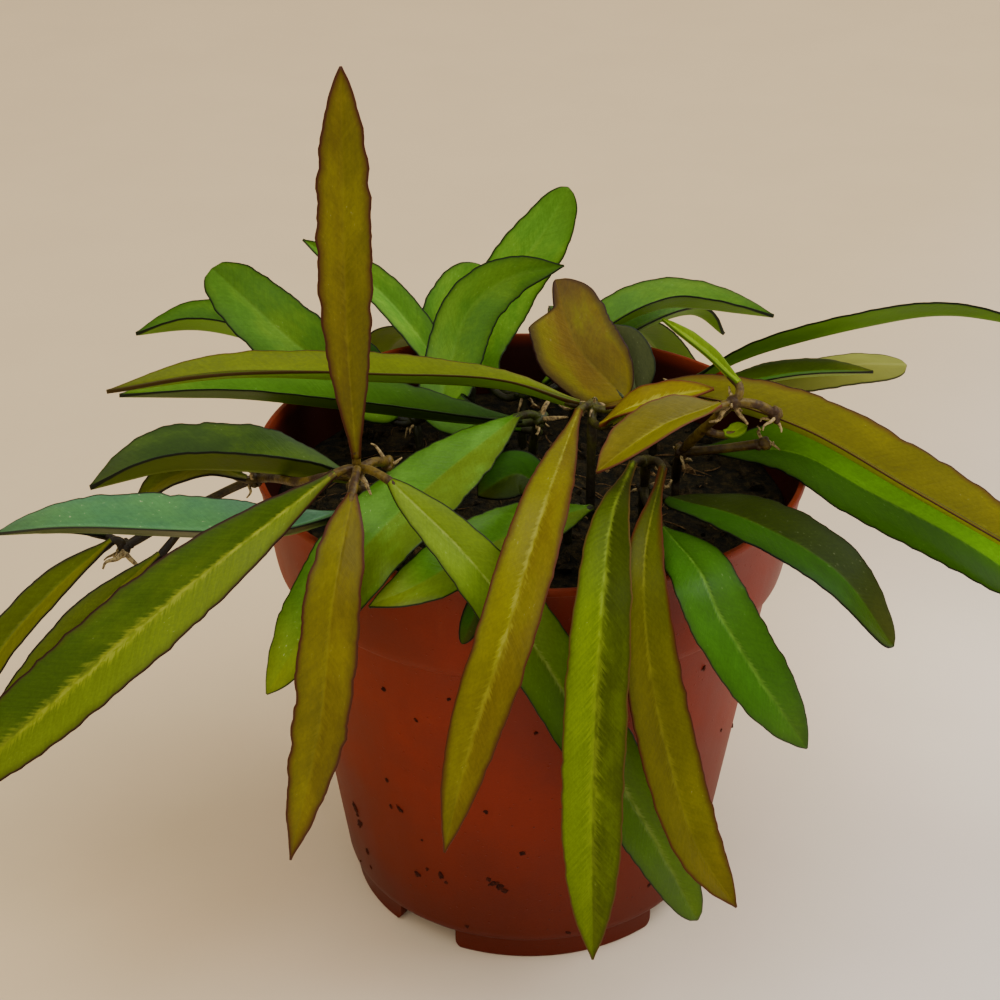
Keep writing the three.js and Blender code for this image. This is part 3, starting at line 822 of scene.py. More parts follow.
class Piece:
    """A mesh in the making, with its materials."""

    def __init__(self, name: str) -> None:
        """Start an empty piece.

        Args:
            name: The finished object's name.
        """
        self.name = name
        self.mesh = bmesh.new()
        self.materials: list[Material] = []

    def paint(self, verts: Iterable[bmesh.types.BMVert], material: Material,
              smooth_faces: bool = True) -> None:
        """Give the faces of one closed form their material and turn them outwards.

        Args:
            verts: The form's vertices.
            material: Its material.
            smooth_faces: Whether its faces are shaded smooth.
        """
        if material not in self.materials:
            self.materials.append(material)
        faces = list({f for v in verts for f in v.link_faces})
        bmesh.ops.recalc_face_normals(self.mesh, faces=faces)
        for face in faces:
            face.material_index = self.materials.index(material)
            face.smooth = smooth_faces

    def sweep(self, path: Path, radii: Sequence[float], sides: int, steps: int) -> Verts:
        """Pull a round cap along a line.

        Args:
            path: The line.
            radii: Radii at even shares of the line's length, at least two.
            sides: How many sides the section has.
            steps: How many times the cap is pulled on.

        Returns:
            The new form's vertices.
        """
        ring = bmesh.ops.create_circle(self.mesh, cap_ends=True, radius=radii[0], segments=sides)["verts"]
        heading, place, radius = path.heading(0.0), path.place(0.0), radii[0]
        turn = Vector((0, 0, 1)).rotation_difference(heading).to_matrix().to_4x4()
        bmesh.ops.transform(self.mesh, matrix=Matrix.Translation(place) @ turn, verts=ring)
        cap = ring[0].link_faces[0]
        verts = list(ring)
        for i in range(1, steps + 1):
            new = bmesh.ops.extrude_face_region(self.mesh, geom=[cap])["geom"]
            if i > 1:
                bmesh.ops.delete(self.mesh, geom=[cap], context="FACES_ONLY")
            cap = next(g for g in new if isinstance(g, bmesh.types.BMFace))
            ring = only_verts(new)
            share = i / steps
            onward, there = path.heading(share), path.place(share)
            slot = min(int(share * (len(radii) - 1)), len(radii) - 2)
            size = lerp(radii[slot], radii[slot + 1], share * (len(radii) - 1) - slot)
            move = (Matrix.Translation(there)
                    @ heading.rotation_difference(onward).to_matrix().to_4x4()
                    @ Matrix.Scale(size / radius, 4) @ Matrix.Translation(-place))
            bmesh.ops.transform(self.mesh, matrix=move, verts=ring)
            heading, place, radius = onward, there, size
            verts += ring
        return verts

    def lump(self, place: Vector, radius: float, unevenness: float, seed: float, divisions: int = 3) -> Verts:
        """Add an uneven round form with its middle at a place.

        Args:
            place: The place.
            radius: The form's radius.
            unevenness: How far its surface strays, as a share of its radius.
            seed: What sets it apart from other forms of its size.
            divisions: How finely it is divided.

        Returns:
            The new form's vertices.
        """
        verts = uneven_ball(self.mesh, radius, unevenness, seed, divisions)
        bmesh.ops.translate(self.mesh, vec=place, verts=verts)
        return verts

    def place(self, slot: str, *nodes: str) -> bpy.types.Object:
        """Turn the mesh into an object in metres that stands for its CAD nodes.

        Args:
            slot: The record's material slot, which is not used.
            nodes: The CAD nodes that it replaces.

        Returns:
            The finished object.
        """
        bmesh.ops.scale(self.mesh, vec=(MM, MM, MM), verts=self.mesh.verts)
        made = link_mesh(self.name, self.mesh)
        for material in self.materials:
            made.data.materials.append(material)
        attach(made, BODY)
        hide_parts(*nodes)
        made.data.calc_loop_triangles()
        LOG.info("%s: %d triangles, %d materials", self.name, len(made.data.loop_triangles),
                 len(self.materials))
        return made


@dataclass(frozen=True)
class Station:
    """One cross-section of a blade."""

    place: Vector
    side: Vector
    normal: Vector
    half: float
    share: float


@dataclass(frozen=True)
class Leaf:
    """One leaf: its rib runs from the stalk's end to the tip, in millimetres.

    It grows from the stem point with the number start, and face is the way that its upper side looks.
    Fold is in degrees, and bite narrows the left half from bite_from on, over bite_length of the rib.
    """

    start: int
    rib: tuple[Point, ...]
    width: float
    face: Point
    fold: float
    skin: Skin
    wave: float = 0.0
    taper: Taper = Taper.POINTED
    widest: float = 1.1
    lean: float = 0.0
    shoulders: float = 2.5
    bite: float = 0.0
    bite_from: float = 0.7
    bite_length: float = 0.12
    crimp: float = 0.03
    crease: float = 0.1
    # shade: the leaf's brightness factor, partly its own tone and partly painted light and shade.
    shade: float = 1.0

    ROWS = 84
    COLUMNS = (0.0, 0.05, 0.15, 0.32, 0.52, 0.72, 0.87, 0.96, 1.0)
    RIPPLES = 2.5
    FULLNESS = 2.5
    STALK_HALF = 1.1
    TIP_HALF = 0.3
    RIB_THICKNESS = 1.15
    RIM_THICKNESS = 0.6
    BASE_THICKNESS = 1.8
    KEEL = 0.45
    KEEL_WIDTH = 0.09
    CROWN = 0.035
    CRIMP_LENGTH = 3.4
    FINE_CRIMP = 2.7
    FINE_SHARE = 0.4
    SEED_SPREAD = 7.3

    def outline(self, share: float) -> float:
        """Work out the blade's half width.

        Args:
            share: The place from the stalk at 0 to the tip at 1.

        Returns:
            The half width in millimetres.
        """
        from_middle = 2 * share ** self.widest - 1
        fullness = self.shoulders if from_middle < 0 else self.FULLNESS
        full = self.width / 2 * max(1 - abs(from_middle) ** fullness, 0.0) ** self.taper.value
        return math.hypot(lerp(self.STALK_HALF, self.TIP_HALF, smooth(share * 1.3)) * 0.9, full)

    def stations(self, path: Path) -> list[Station]:
        """Work out one cross-section for each row of the blade.

        Args:
            path: The rib's line.

        Returns:
            The cross-sections, from the stalk to the tip.
        """
        face = Vector(self.face).normalized()
        found = []
        for i in range(self.ROWS + 1):
            share = i / self.ROWS
            heading = path.heading(share)
            side = heading.cross(face).normalized()
            found.append(Station(path.place(share), side, side.cross(heading), self.outline(share), share))
        return found

    def half_at(self, station: Station, across: float, sign: float, along: float, seed: float) -> float:
        """Return the half width at a point, with the rim's crimps, the lean and the bite.

        Args:
            station: The cross-section.
            across: The place from the rib at 0 to the rim at 1.
            sign: The half that the point is on, -1 or 1.
            along: The distance from the stalk in millimetres.
            seed: What sets this leaf's crimps apart.

        Returns:
            The half width in millimetres.
        """
        crimps = along / self.CRIMP_LENGTH
        stray = noise.noise((crimps, sign * 5, seed))
        stray += self.FINE_SHARE * noise.noise((crimps * self.FINE_CRIMP, sign * 9, seed))
        half = station.half * (1 + self.crimp * stray * 2 * across) * (1 + self.lean * sign)
        if sign < 0:
            half *= 1 - self.bite * smooth((station.share - self.bite_from) / self.bite_length)
        return half

    def rise_at(self, station: Station, across: float, sign: float, half: float) -> float:
        """Return how far a point is lifted over the rib by the fold, the ripples and the crown.

        Args:
            station: The cross-section.
            across: The place from the rib at 0 to the rim at 1.
            sign: The half that the point is on, -1 or 1.
            half: The half width at the point.

        Returns:
            The rise in millimetres.
        """
        steep = math.hypot(1, self.crease) - self.crease
        valley = (math.hypot(across, self.crease) - self.crease) / steep
        ripple = (self.wave * math.sin(2 * math.pi * self.RIPPLES * station.share + sign * across)
                  * math.sin(math.pi * station.share))
        crown = self.CROWN * half * math.sin(math.pi * across)
        return valley * half * math.sin(math.radians(self.fold)) + across * ripple + crown

    def depth_at(self, across: float, share: float, upper: bool) -> float:
        """Return how far a face lies from the middle of a blade that is stout at the stalk and keeled below.

        Args:
            across: The place from the rib at 0 to the rim at 1.
            share: The place from the stalk at 0 to the tip at 1.
            upper: Whether the face is the upper one.

        Returns:
            The distance in millimetres, which is negative below.
        """
        rib = lerp(self.BASE_THICKNESS, self.RIB_THICKNESS, smooth(share * 7))
        rib = lerp(rib, self.RIM_THICKNESS, smooth(share * 5 - 4))
        depth = lerp(rib, self.RIM_THICKNESS, across) * math.sqrt(max(1 - across ** 8, 0.1)) / 2
        if upper:
            return depth
        keel = self.KEEL * math.exp(-(across / self.KEEL_WIDTH) ** 2) * (1 - share)
        return -depth - keel * smooth(share * 6)

    def slab(self, mesh: bmesh.types.BMesh) -> Verts:
        """Add a flat slab of rows and columns.

        Args:
            mesh: The mesh that it is added to.

        Returns:
            Its vertices, with the lower face at a height of 0 and the upper one at 1.
        """
        columns = 2 * (len(self.COLUMNS) - 1)
        lower = bmesh.ops.create_grid(mesh, x_segments=columns, y_segments=self.ROWS, size=1.0)["verts"]
        faces = list({f for v in lower for f in v.link_faces})
        upper = only_verts(bmesh.ops.extrude_face_region(mesh, geom=faces)["geom"])
        bmesh.ops.translate(mesh, vec=(0, 0, 1), verts=upper)
        return lower + upper

    def grow(self, piece: Piece, seed: float, material: Material) -> None:
        """Add the blade to a piece: a slab that is bent along the rib.

        Args:
            piece: The piece that it belongs to.
            seed: What sets this leaf's small waves and patches apart.
            material: Its material.
        """
        slab = self.slab(piece.mesh)
        layers = piece.mesh.verts.layers
        blade, growth = layers.float_vector["blade"], layers.float_vector["growth"]
        leaf_seed = layers.float["leaf_seed"]
        path = Path(self.rib)
        stations = self.stations(path)
        flat = math.cos(math.radians(self.fold))
        for vert in slab:
            upper = vert.co.z > 0.5
            station = stations[round((vert.co.y + 1) / 2 * self.ROWS)]
            across = self.COLUMNS[round(abs(vert.co.x) * (len(self.COLUMNS) - 1))]
            sign = math.copysign(1.0, vert.co.x)
            along = station.share * path.length
            half = self.half_at(station, across, sign, along, seed)
            depth = self.depth_at(across, station.share, upper)
            vert[blade] = (sign * across * half, along, half)
            vert[growth] = (station.share, float(upper), self.shade)
            vert[leaf_seed] = seed * self.SEED_SPREAD
            vert.co = (station.place + station.side * (sign * across * half * flat)
                       + station.normal * (self.rise_at(station, across, sign, half) + depth / flat))
        piece.paint(slab, material)

    def stalk_path(self, start: Vector) -> Path:
        """Return the stalk's line, which curves from the stem into the rib.

        Args:
            start: The stem point that it grows from.

        Returns:
            The line, ending inside the blade.
        """
        base = Vector(self.rib[0])
        heading = (Vector(self.rib[1]) - base).normalized()
        bend = base - heading * 0.4 * (base - start).length
        return Path([start, start.lerp(bend, 0.6), base, base + heading * 3])


class Wardrobe:
    """The plant's materials, each built once."""

    def __init__(self) -> None:
        """Start with the roots' material alone."""
        self.root = RootFinish().build()
        self.made: dict[Enum, Material] = {}

    def material(self, kind: Skin | Bark) -> Material:
        """Look up a kind's material, building it the first time.

        Args:
            kind: The kind of leaf or stem.

        Returns:
            The material.
        """
        if kind not in self.made:
            self.made[kind] = kind.value.build(kind.name.lower())
        return self.made[kind]


@dataclass(frozen=True)
class Vine:
    """One rising stem with its knots, leaves, twigs and stub roots.

    The stem's first point is where it leaves the soil, and numbers of stem points count from there.
    """

    name: str
    slot: str
    bark: Bark
    stem: tuple[Point, ...]
    leaves: tuple[Leaf, ...]
    knots: tuple[int, ...]
    roots: tuple[tuple[int, Point], ...] = ()
    twigs: tuple[tuple[int, tuple[Point, ...]], ...] = ()

    UPRIGHT = (88, 97, 101)
    STEM_RADIUS = 1.0
    STEM_STRAY = 0.14
    STEM_SIDES = 14
    SPAN_STEPS = 10
    KNOT_RADIUS = 1.5
    KNOT_UNEVENNESS = 0.28
    BUD_SCALES = 4
    BUD_SIZES = (0.6, 0.95)
    BUD_REACH = 1.3
    BUD_UNEVENNESS = 0.3
    KNOT_ROOTS = 3
    STALK_RADII = (1.1, 0.9, 0.85, 0.9, 0.7)
    TWIG_RADII = (1.1, 0.95, 1.1)
    ROOT_TAPER = (1.0, 0.85, 0.35)
    ROOT_CURL = 0.13
    ROOT_BENDS = (0.4, 0.75)
    KNOT_ROOT_LENGTHS = (3.0, 5.2)
    SEEDS = (0, 50)
    SEED_STEPS = (3.1, 1.7)
    SHORT_ROOT_RADIUS = 0.42
    LONG_ROOT_RADIUS = 0.6

    def knot(self, piece: Piece, place: Vector, material: Material, chance: random.Random) -> None:
        """Add a knobbly knot with a few bud scales.

        Args:
            piece: The vine's piece.
            place: The knot's middle.
            material: The stem's material.
            chance: The seeded source of its small differences.
        """
        knot = piece.lump(place, self.KNOT_RADIUS, self.KNOT_UNEVENNESS, chance.uniform(*self.SEEDS))
        piece.paint(knot, material)
        for _ in range(self.BUD_SCALES):
            way = Vector([chance.gauss(0, 1) for _ in range(3)]).normalized()
            spot, size = place + way * self.BUD_REACH, chance.uniform(*self.BUD_SIZES)
            bud = piece.lump(spot, size, self.BUD_UNEVENNESS, chance.uniform(*self.SEEDS), 2)
            piece.paint(bud, material)

    def curl(self, piece: Piece, start: Vector, tip: Vector, radius: float, material: Material,
             chance: random.Random) -> None:
        """Add a stub root that curls on its way from a knot to its tip.

        Args:
            piece: The vine's piece.
            start: The knot's middle.
            tip: The root's end.
            radius: Its radius where it leaves the knot.
            material: The roots' material.
            chance: The seeded source of its curl.
        """
        points = [start]
        for share in self.ROOT_BENDS:
            stray = Vector([chance.uniform(-1, 1) for _ in range(3)]) * (tip - start).length * self.ROOT_CURL
            points.append(start.lerp(tip, share) + stray)
        radii = [radius * taper for taper in self.ROOT_TAPER]
        piece.paint(piece.sweep(Path([*points, tip]), radii, 8, 12), material)

    def build(self, dress: Wardrobe, seed: int) -> bpy.types.Object:
        """Build the vine's piece.

        Args:
            dress: The plant's materials.
            seed: What sets this vine's small differences apart.

        Returns:
            The finished object.
        """
        chance = random.Random(seed)
        piece = Piece(f"fine_{self.name}")
        layers = piece.mesh.verts.layers
        layers.float_vector.new("blade")
        layers.float_vector.new("growth")
        layers.float.new("leaf_seed")
        bark = dress.material(self.bark)
        (x, y), *bends = self.stem
        line = [Vector((x, y, z)) for z in self.UPRIGHT] + [Vector(b) for b in bends]
        points = line[len(self.UPRIGHT) - 1:]
        radii = [self.STEM_RADIUS * chance.uniform(1 - self.STEM_STRAY, 1 + self.STEM_STRAY)
                 for _ in range(4 * len(line))]
        steps = self.SPAN_STEPS * (len(line) - 1)
        piece.paint(piece.sweep(Path(line), radii, self.STEM_SIDES, steps), bark)
        ends = [points[k] for k in self.knots]
        for start, bends in self.twigs:
            path = Path([points[start], *[Vector(b) for b in bends]])
            piece.paint(piece.sweep(path, self.TWIG_RADII, 12, 16), bark)
            ends.append(Vector(bends[-1]))
        for end in ends:
            self.knot(piece, end, bark, chance)
            for _ in range(self.KNOT_ROOTS):
                way = Vector((chance.gauss(0, 1), chance.gauss(0, 1), chance.gauss(-0.5, 0.7))).normalized()
                tip = end + way * chance.uniform(*self.KNOT_ROOT_LENGTHS)
                self.curl(piece, end, tip, self.SHORT_ROOT_RADIUS, dress.root, chance)
        for start, tip in self.roots:
            self.curl(piece, points[start], Vector(tip), self.LONG_ROOT_RADIUS, dress.root, chance)
        vine_step, leaf_step = self.SEED_STEPS
        for number, leaf in enumerate(self.leaves):
            piece.paint(piece.sweep(leaf.stalk_path(points[leaf.start]), self.STALK_RADII, 12, 18), bark)
            leaf.grow(piece, seed * vine_step + number * leaf_step, dress.material(leaf.skin))
        return piece.place(self.slot, self.name)


GREEN, OLIVE = "green_foliage", "olive_foliage"
ROUNDED, PLAIN, BLUNT = Taper.ROUNDED, Taper.PLAIN, Taper.BLUNT

VINES = (
    Vine(
        "vine_trailing_left", OLIVE, Bark.RUSSET,
        stem=((-25, -13), (-34, -27, 112), (-36, -38, 119), (-34, -46, 127), (-46, -36, 119),
              (-57, -24, 113), (-71, -27, 107), (-84, -32, 101)),
        knots=(1, 3, 5, 7),
        twigs=((3, ((-31, -41.4, 126.6), (-28.6, -36.4, 123.8))),),
        roots=((5, (-62, -21, 110)), (7, (-80, -35, 96)), (7, (-88, -36, 98)), (3, (-31, -50, 124))),
        leaves=(
            Leaf(3, ((-34, -46, 130), (-35, -46, 157), (-35, -44, 186), (-35, -41, 207)),
                 10.4, (0.1, -1, 0.1), 10, Skin.BRONZE, wave=0.4, taper=PLAIN, widest=1.25,
                 crimp=0.05),
            Leaf(3, ((-38, -49, 128), (-60, -62, 115), (-85, -72, 96), (-118, -79, 67)),
                 15.8, (0.2, -0.7, 0.7), 16, Skin.STREAKED, wave=0.3, lean=0.06),
            Leaf(3, ((-34, -57, 128), (-37, -71, 113), (-40, -75, 87), (-47, -76, 55)),
                 11.5, (0, -1, 0.25), 12, Skin.BRONZE, wave=0.5, widest=0.8, crimp=0.045, shade=1.12),
            Leaf(3, ((-27, -52, 128), (-11, -62, 116), (3, -64, 95), (24, -58, 52), (37, -53, 22)),
                 14.5, (0.3, -1, 0.4), 16, Skin.LEEK, taper=ROUNDED),
            Leaf(5, ((-59, -25.5, 113.8), (-66, -27, 117), (-75, -27, 114), (-82, -27, 108)),
                 7, (0, -0.5, 0.8), 30, Skin.DUSK),
            Leaf(7, ((-86, -33, 103), (-98, -36, 93), (-109, -42, 82), (-115, -47, 70)),
                 9.5, (0, -0.6, 0.8), 38, Skin.DUSK),
            Leaf(6, ((-76, -35, 101), (-90, -43, 90.5), (-104, -50, 75), (-114, -54, 62)),
                 9, (0, -0.5, 0.85), 30, Skin.DUSK),
            Leaf(7, ((-88, -31, 103), (-95, -32, 105), (-104, -33, 105)),
                 5, (0, -0.3, 1), 30, Skin.DEEP),
            Leaf(1, ((-37, -25, 114), (-54, -30, 119), (-73, -32, 120), (-89, -36, 117)),
                 18, (0, 0.05, 1), 50, Skin.LEAFY, bite=0.32, bite_from=0.0, bite_length=0.3),
            Leaf(1, ((-38, -37, 112), (-50, -46, 113), (-63, -47, 113), (-89, -51, 116),
                     (-104, -55, 117)), 15, (0, -0.2, 1), 44, Skin.TEAL),
        ),
    ),
    Vine(
        "vine_centre", OLIVE, Bark.OLIVE,
        stem=((13, -8), (13, -6, 113), (13, -4, 121)),
        knots=(2,),
        roots=((2, (6, 2, 118)), (2, (18, 1, 117))),
        leaves=(
            Leaf(2, ((10, -4, 121), (-7, -4, 125.8), (-34, -6, 128), (-63, -8, 129.3), (-89, -12, 126.8)),
                 10.6, (0, -0.1, 1), 44, Skin.LIME, wave=0.3, bite=0.75, bite_from=0.3,
                 bite_length=0.35),
            Leaf(2, ((10, -9, 122), (3, -51, 123), (-5, -76.8, 106), (-11, -79.7, 85), (-16, -80.6, 61)),
                 11.5, (0, -0.7, 0.7), 16, Skin.HONEY, wave=0.4, widest=1.3),
            Leaf(2, ((16, -6, 121), (33, -8, 125), (56, -14, 121), (79, -22, 111), (98, -30, 103),
                     (118, -38, 94)), 17, (0, -0.2, 1), 42, Skin.LONG_GOLD),
            Leaf(2, ((15, -10, 119), (23, -14, 126), (38, -12, 129)),
                 8, (0, -0.3, 1), 30, Skin.HONEY, shade=1.7),
        ),
    ),
    Vine(
        "vine_right_front", GREEN, Bark.OLIVE,
        stem=((24, -14), (24, -17, 108), (24, -20, 116)),
        knots=(1, 2),
        roots=((1, (30, -13, 108)),),
        leaves=(
            Leaf(2, ((21, -25, 118), (16, -48, 118), (14, -67, 108), (13, -72, 88), (13, -73, 60),
                     (14, -72, 27)), 13, (0, -0.7, 0.7), 18, Skin.FEATHERED, wave=0.3, widest=1.5,
                 shoulders=4.2),
            Leaf(2, ((27, -27, 118), (22.5, -54, 115), (22.5, -65, 104), (26, -66, 82), (34, -65, 53),
                     (44, -62, 33)), 12.5, (0.1, -0.7, 0.7), 20, Skin.OLIVE_GOLD, wave=0.4, widest=1.7,
                 shoulders=4.2),
            Leaf(1, ((29, -22, 108), (43, -45, 116), (59, -57, 112), (71, -62, 98)),
                 16, (0, -0.1, 1), 12, Skin.DEEP, taper=ROUNDED),
            Leaf(1, ((27, -38, 110), (33, -56, 111), (37, -63, 105), (45, -67, 93), (55, -68, 78)),
                 13.5, (0.1, -0.8, 0.6), 10, Skin.FRESH, taper=PLAIN),
        ),
    ),
    Vine(
        "vine_right_node", OLIVE, Bark.RUSSET,
        stem=((32, 2), (32, -10, 113), (36, -18, 123), (41, -24, 132)),
        knots=(1, 3),
        roots=((3, (44, -24, 127)), (3, (36, -27, 129))),
        twigs=((1, ((40, -12, 115), (49, -13, 117))), (3, ((46, -23, 131), (50, -21.5, 128)))),
        leaves=(
            Leaf(3, ((38, -26, 132), (26, -34, 131), (13, -42, 125)),
                 12, (0, -0.3, 1), 36, Skin.GOLD),
            Leaf(3, ((42, -22, 135), (36, -14, 138), (27, -6, 142)),
                 3.8, (0, -0.4, 1), 48, Skin.SPRING),
            Leaf(1, ((37, -3, 110), (56, -6, 111), (71, -15, 107), (92, -24, 99), (114, -32, 86)),
                 20, (0, -0.6, 0.8), 26, Skin.TWO_GREEN),
            Leaf(2, ((40, -17, 121), (42, -16.5, 121), (45, -15, 122)),
                 4, (0, -0.5, 0.8), 30, Skin.SPRING),
        ),
    ),
    Vine(
        "vine_back_right", GREEN, Bark.GREEN,
        stem=((28, 22), (29, 21, 109), (33, 18, 114)),
        knots=(1, 2),
        leaves=(
            Leaf(2, ((36, 17, 117), (50, 19, 123.5), (74, 19, 130.5), (92, 17, 134), (112, 13, 132)),
                 12.6, (0, 0.48, 0.87), 20, Skin.SUNNY, widest=0.9, shade=0.62),
            Leaf(2, ((38, 14, 115.5), (58, 17, 118.5), (76, 19, 118.5)),
                 11, (0, 0.1, 1), 20, Skin.DEEP, shade=3.0),
            Leaf(1, ((36, 23, 111), (60, 25, 114.5), (73, 28, 115.5), (85.5, 31, 114.5)),
                 8.5, (0, 0.55, -0.8), 14, Skin.PALE, taper=BLUNT, widest=1.7),
            Leaf(1, ((21, 17, 112), (10, 24, 122), (5, 33, 134)),
                 19.5, (0.1, -0.85, 0.5), 8, Skin.BROWN, taper=ROUNDED, bite=0.75),
            Leaf(1, ((24, 24, 108), (22, 28, 116), (17, 31, 124)),
                 12, (0.2, -0.8, 0.5), 14, Skin.SLATE),
        ),
    ),
    Vine(
        "vine_back", GREEN, Bark.GREEN,
        stem=((-2, 24), (-2, 26, 109)),
        knots=(1,),
        leaves=(
            Leaf(1, ((-9, 30, 108), (-12, 37, 115), (-6, 48, 126), (3, 54, 138), (8, 57, 147)),
                 15, (0.2, -0.9, 0.4), 16, Skin.SUNNY, taper=ROUNDED, shade=1.42),
            Leaf(1, ((-12, 38, 108), (-18, 45, 114), (-16, 51, 121), (-11, 56, 127)),
                 17, (0.1, -0.85, 0.5), 10, Skin.SUNNY, taper=ROUNDED, shade=1.22),
            Leaf(1, ((3, 30, 109), (16, 40, 118), (29, 48, 121), (40, 51, 120), (57, 52, 117)),
                 13.5, (0, -0.05, 1), 42, Skin.SUNNY, shade=0.82),
            Leaf(1, ((6, 34, 107), (22, 49, 113), (38, 61, 114), (47, 68, 105)),
                 9, (0, -0.1, 1), 40, Skin.SUNNY, shade=0.75),
        ),
    ),
    Vine(
        "vine_back_left", GREEN, Bark.GREEN,
        stem=((-25, 14), (-26, 16, 107)),
        knots=(1,),
        leaves=(
            Leaf(1, ((-30, 17, 107), (-49.8, 22, 119.8), (-61.2, 27, 127.8), (-72.8, 36, 134.5)),
                 16, (0.2, -0.8, 0.6), 10, Skin.SUNNY, taper=BLUNT, shade=0.8),
            Leaf(1, ((-31, 17, 106), (-48.5, 26, 114.2), (-62.1, 33, 118.1), (-77.2, 37, 119.6),
                     (-91.5, 37, 117.6)),
                 17, (0, 0, 1), 42, Skin.SUNNY, shade=0.85),
            Leaf(1, ((-23, 22, 107), (-23, 34, 113), (-34, 46, 123), (-45, 52, 129), (-54, 55, 134)),
                 10, (0.3, -0.7, 0.6), 30, Skin.SUNNY, shade=1.25),
            Leaf(1, ((-30, 26, 108), (-39, 32, 116), (-47, 34, 121)),
                 6, (0, -0.4, 1), 34, Skin.DEEP),
        ),
    ),
    Vine(
        "vine_middle", GREEN, Bark.GREEN,
        stem=((0, 4), (1, 1, 112), (2, -1, 116)),
        knots=(2,),
        roots=((2, (8, -4, 118)), (2, (5, 3, 121))),
        leaves=(
            Leaf(2, ((-3, -6, 119), (-18.5, -31, 117.5), (-31.5, -55, 115.5), (-41.5, -62, 103.5),
                     (-51.5, -64, 86.5)), 16.5, (0, -0.6, 0.8), 10, Skin.GLOSS, taper=PLAIN,
                 crease=0.8),
            Leaf(2, ((-2, 1, 114), (-16, 1, 115), (-43, 1, 118), (-65, 1, 120), (-88.5, -2, 121)),
                 15, (0, -0.1, 1), 42, Skin.GLADE),
            Leaf(1, ((-2, 10, 108), (-19, 14, 110), (-18, 24, 118), (-14, 32, 127), (-5, 36, 133),
                     (7, 34, 137)), 14, (0.2, -0.8, 0.55), 20, Skin.SUNNY, shade=0.82),
        ),
    ),
    Vine(
        "vine_low_front", GREEN, Bark.GREEN,
        stem=((8, -22), (9, -24, 106)),
        knots=(1,),
        leaves=(
            Leaf(1, ((12.5, -26, 108), (2, -37, 110.5), (-11, -50.5, 111.3), (-21, -58.5, 109),
                     (-31, -62.5, 106)),
                 13.5, (0, -0.55, 0.83), 14, Skin.GLOSS),
            Leaf(1, ((4, -20, 108), (-3, -19, 112), (-11, -23, 109)),
                 11, (0, -0.6, 0.8), 12, Skin.DEEP, shade=1.15),
            Leaf(1, ((-2, -50, 112), (-7, -59, 111), (-10, -61, 105), (-13, -61, 97)),
                 5, (0, -0.9, 0.4), 10, Skin.DEEP, taper=ROUNDED),
        ),
    ),
    Vine(
        "vine_rear_right", GREEN, Bark.GREEN,
        stem=((10, 40), (10, 42, 106)),
        knots=(1,),
        leaves=(
            Leaf(1, ((9, 47, 108), (9, 62, 113), (12, 74, 97), (18, 80, 68)),
                 14, (0, 0.7, 0.7), 18, Skin.FRESH),
            Leaf(1, ((15, 46, 106), (24, 58, 111), (35, 69, 94), (46, 76, 68)),
                 14, (0.2, 0.7, 0.7), 16, Skin.GLOSS),
        ),
    ),
    Vine(
        "vine_rear_left", GREEN, Bark.GREEN,
        stem=((-14, 38), (-14, 40, 105)),
        knots=(1,),
        leaves=(
            Leaf(1, ((-13, 46, 108), (-10, 61, 113), (-14, 74, 95), (-22, 80, 64)),
                 14, (0, 0.7, 0.7), 18, Skin.GLOSS),
            Leaf(1, ((-18, 44, 107), (-31, 55.5, 109.5), (-39, 64, 93), (-46, 70, 68)),
                 14, (-0.2, 0.7, 0.7), 16, Skin.FRESH, shade=0.7),
        ),
    ),
)


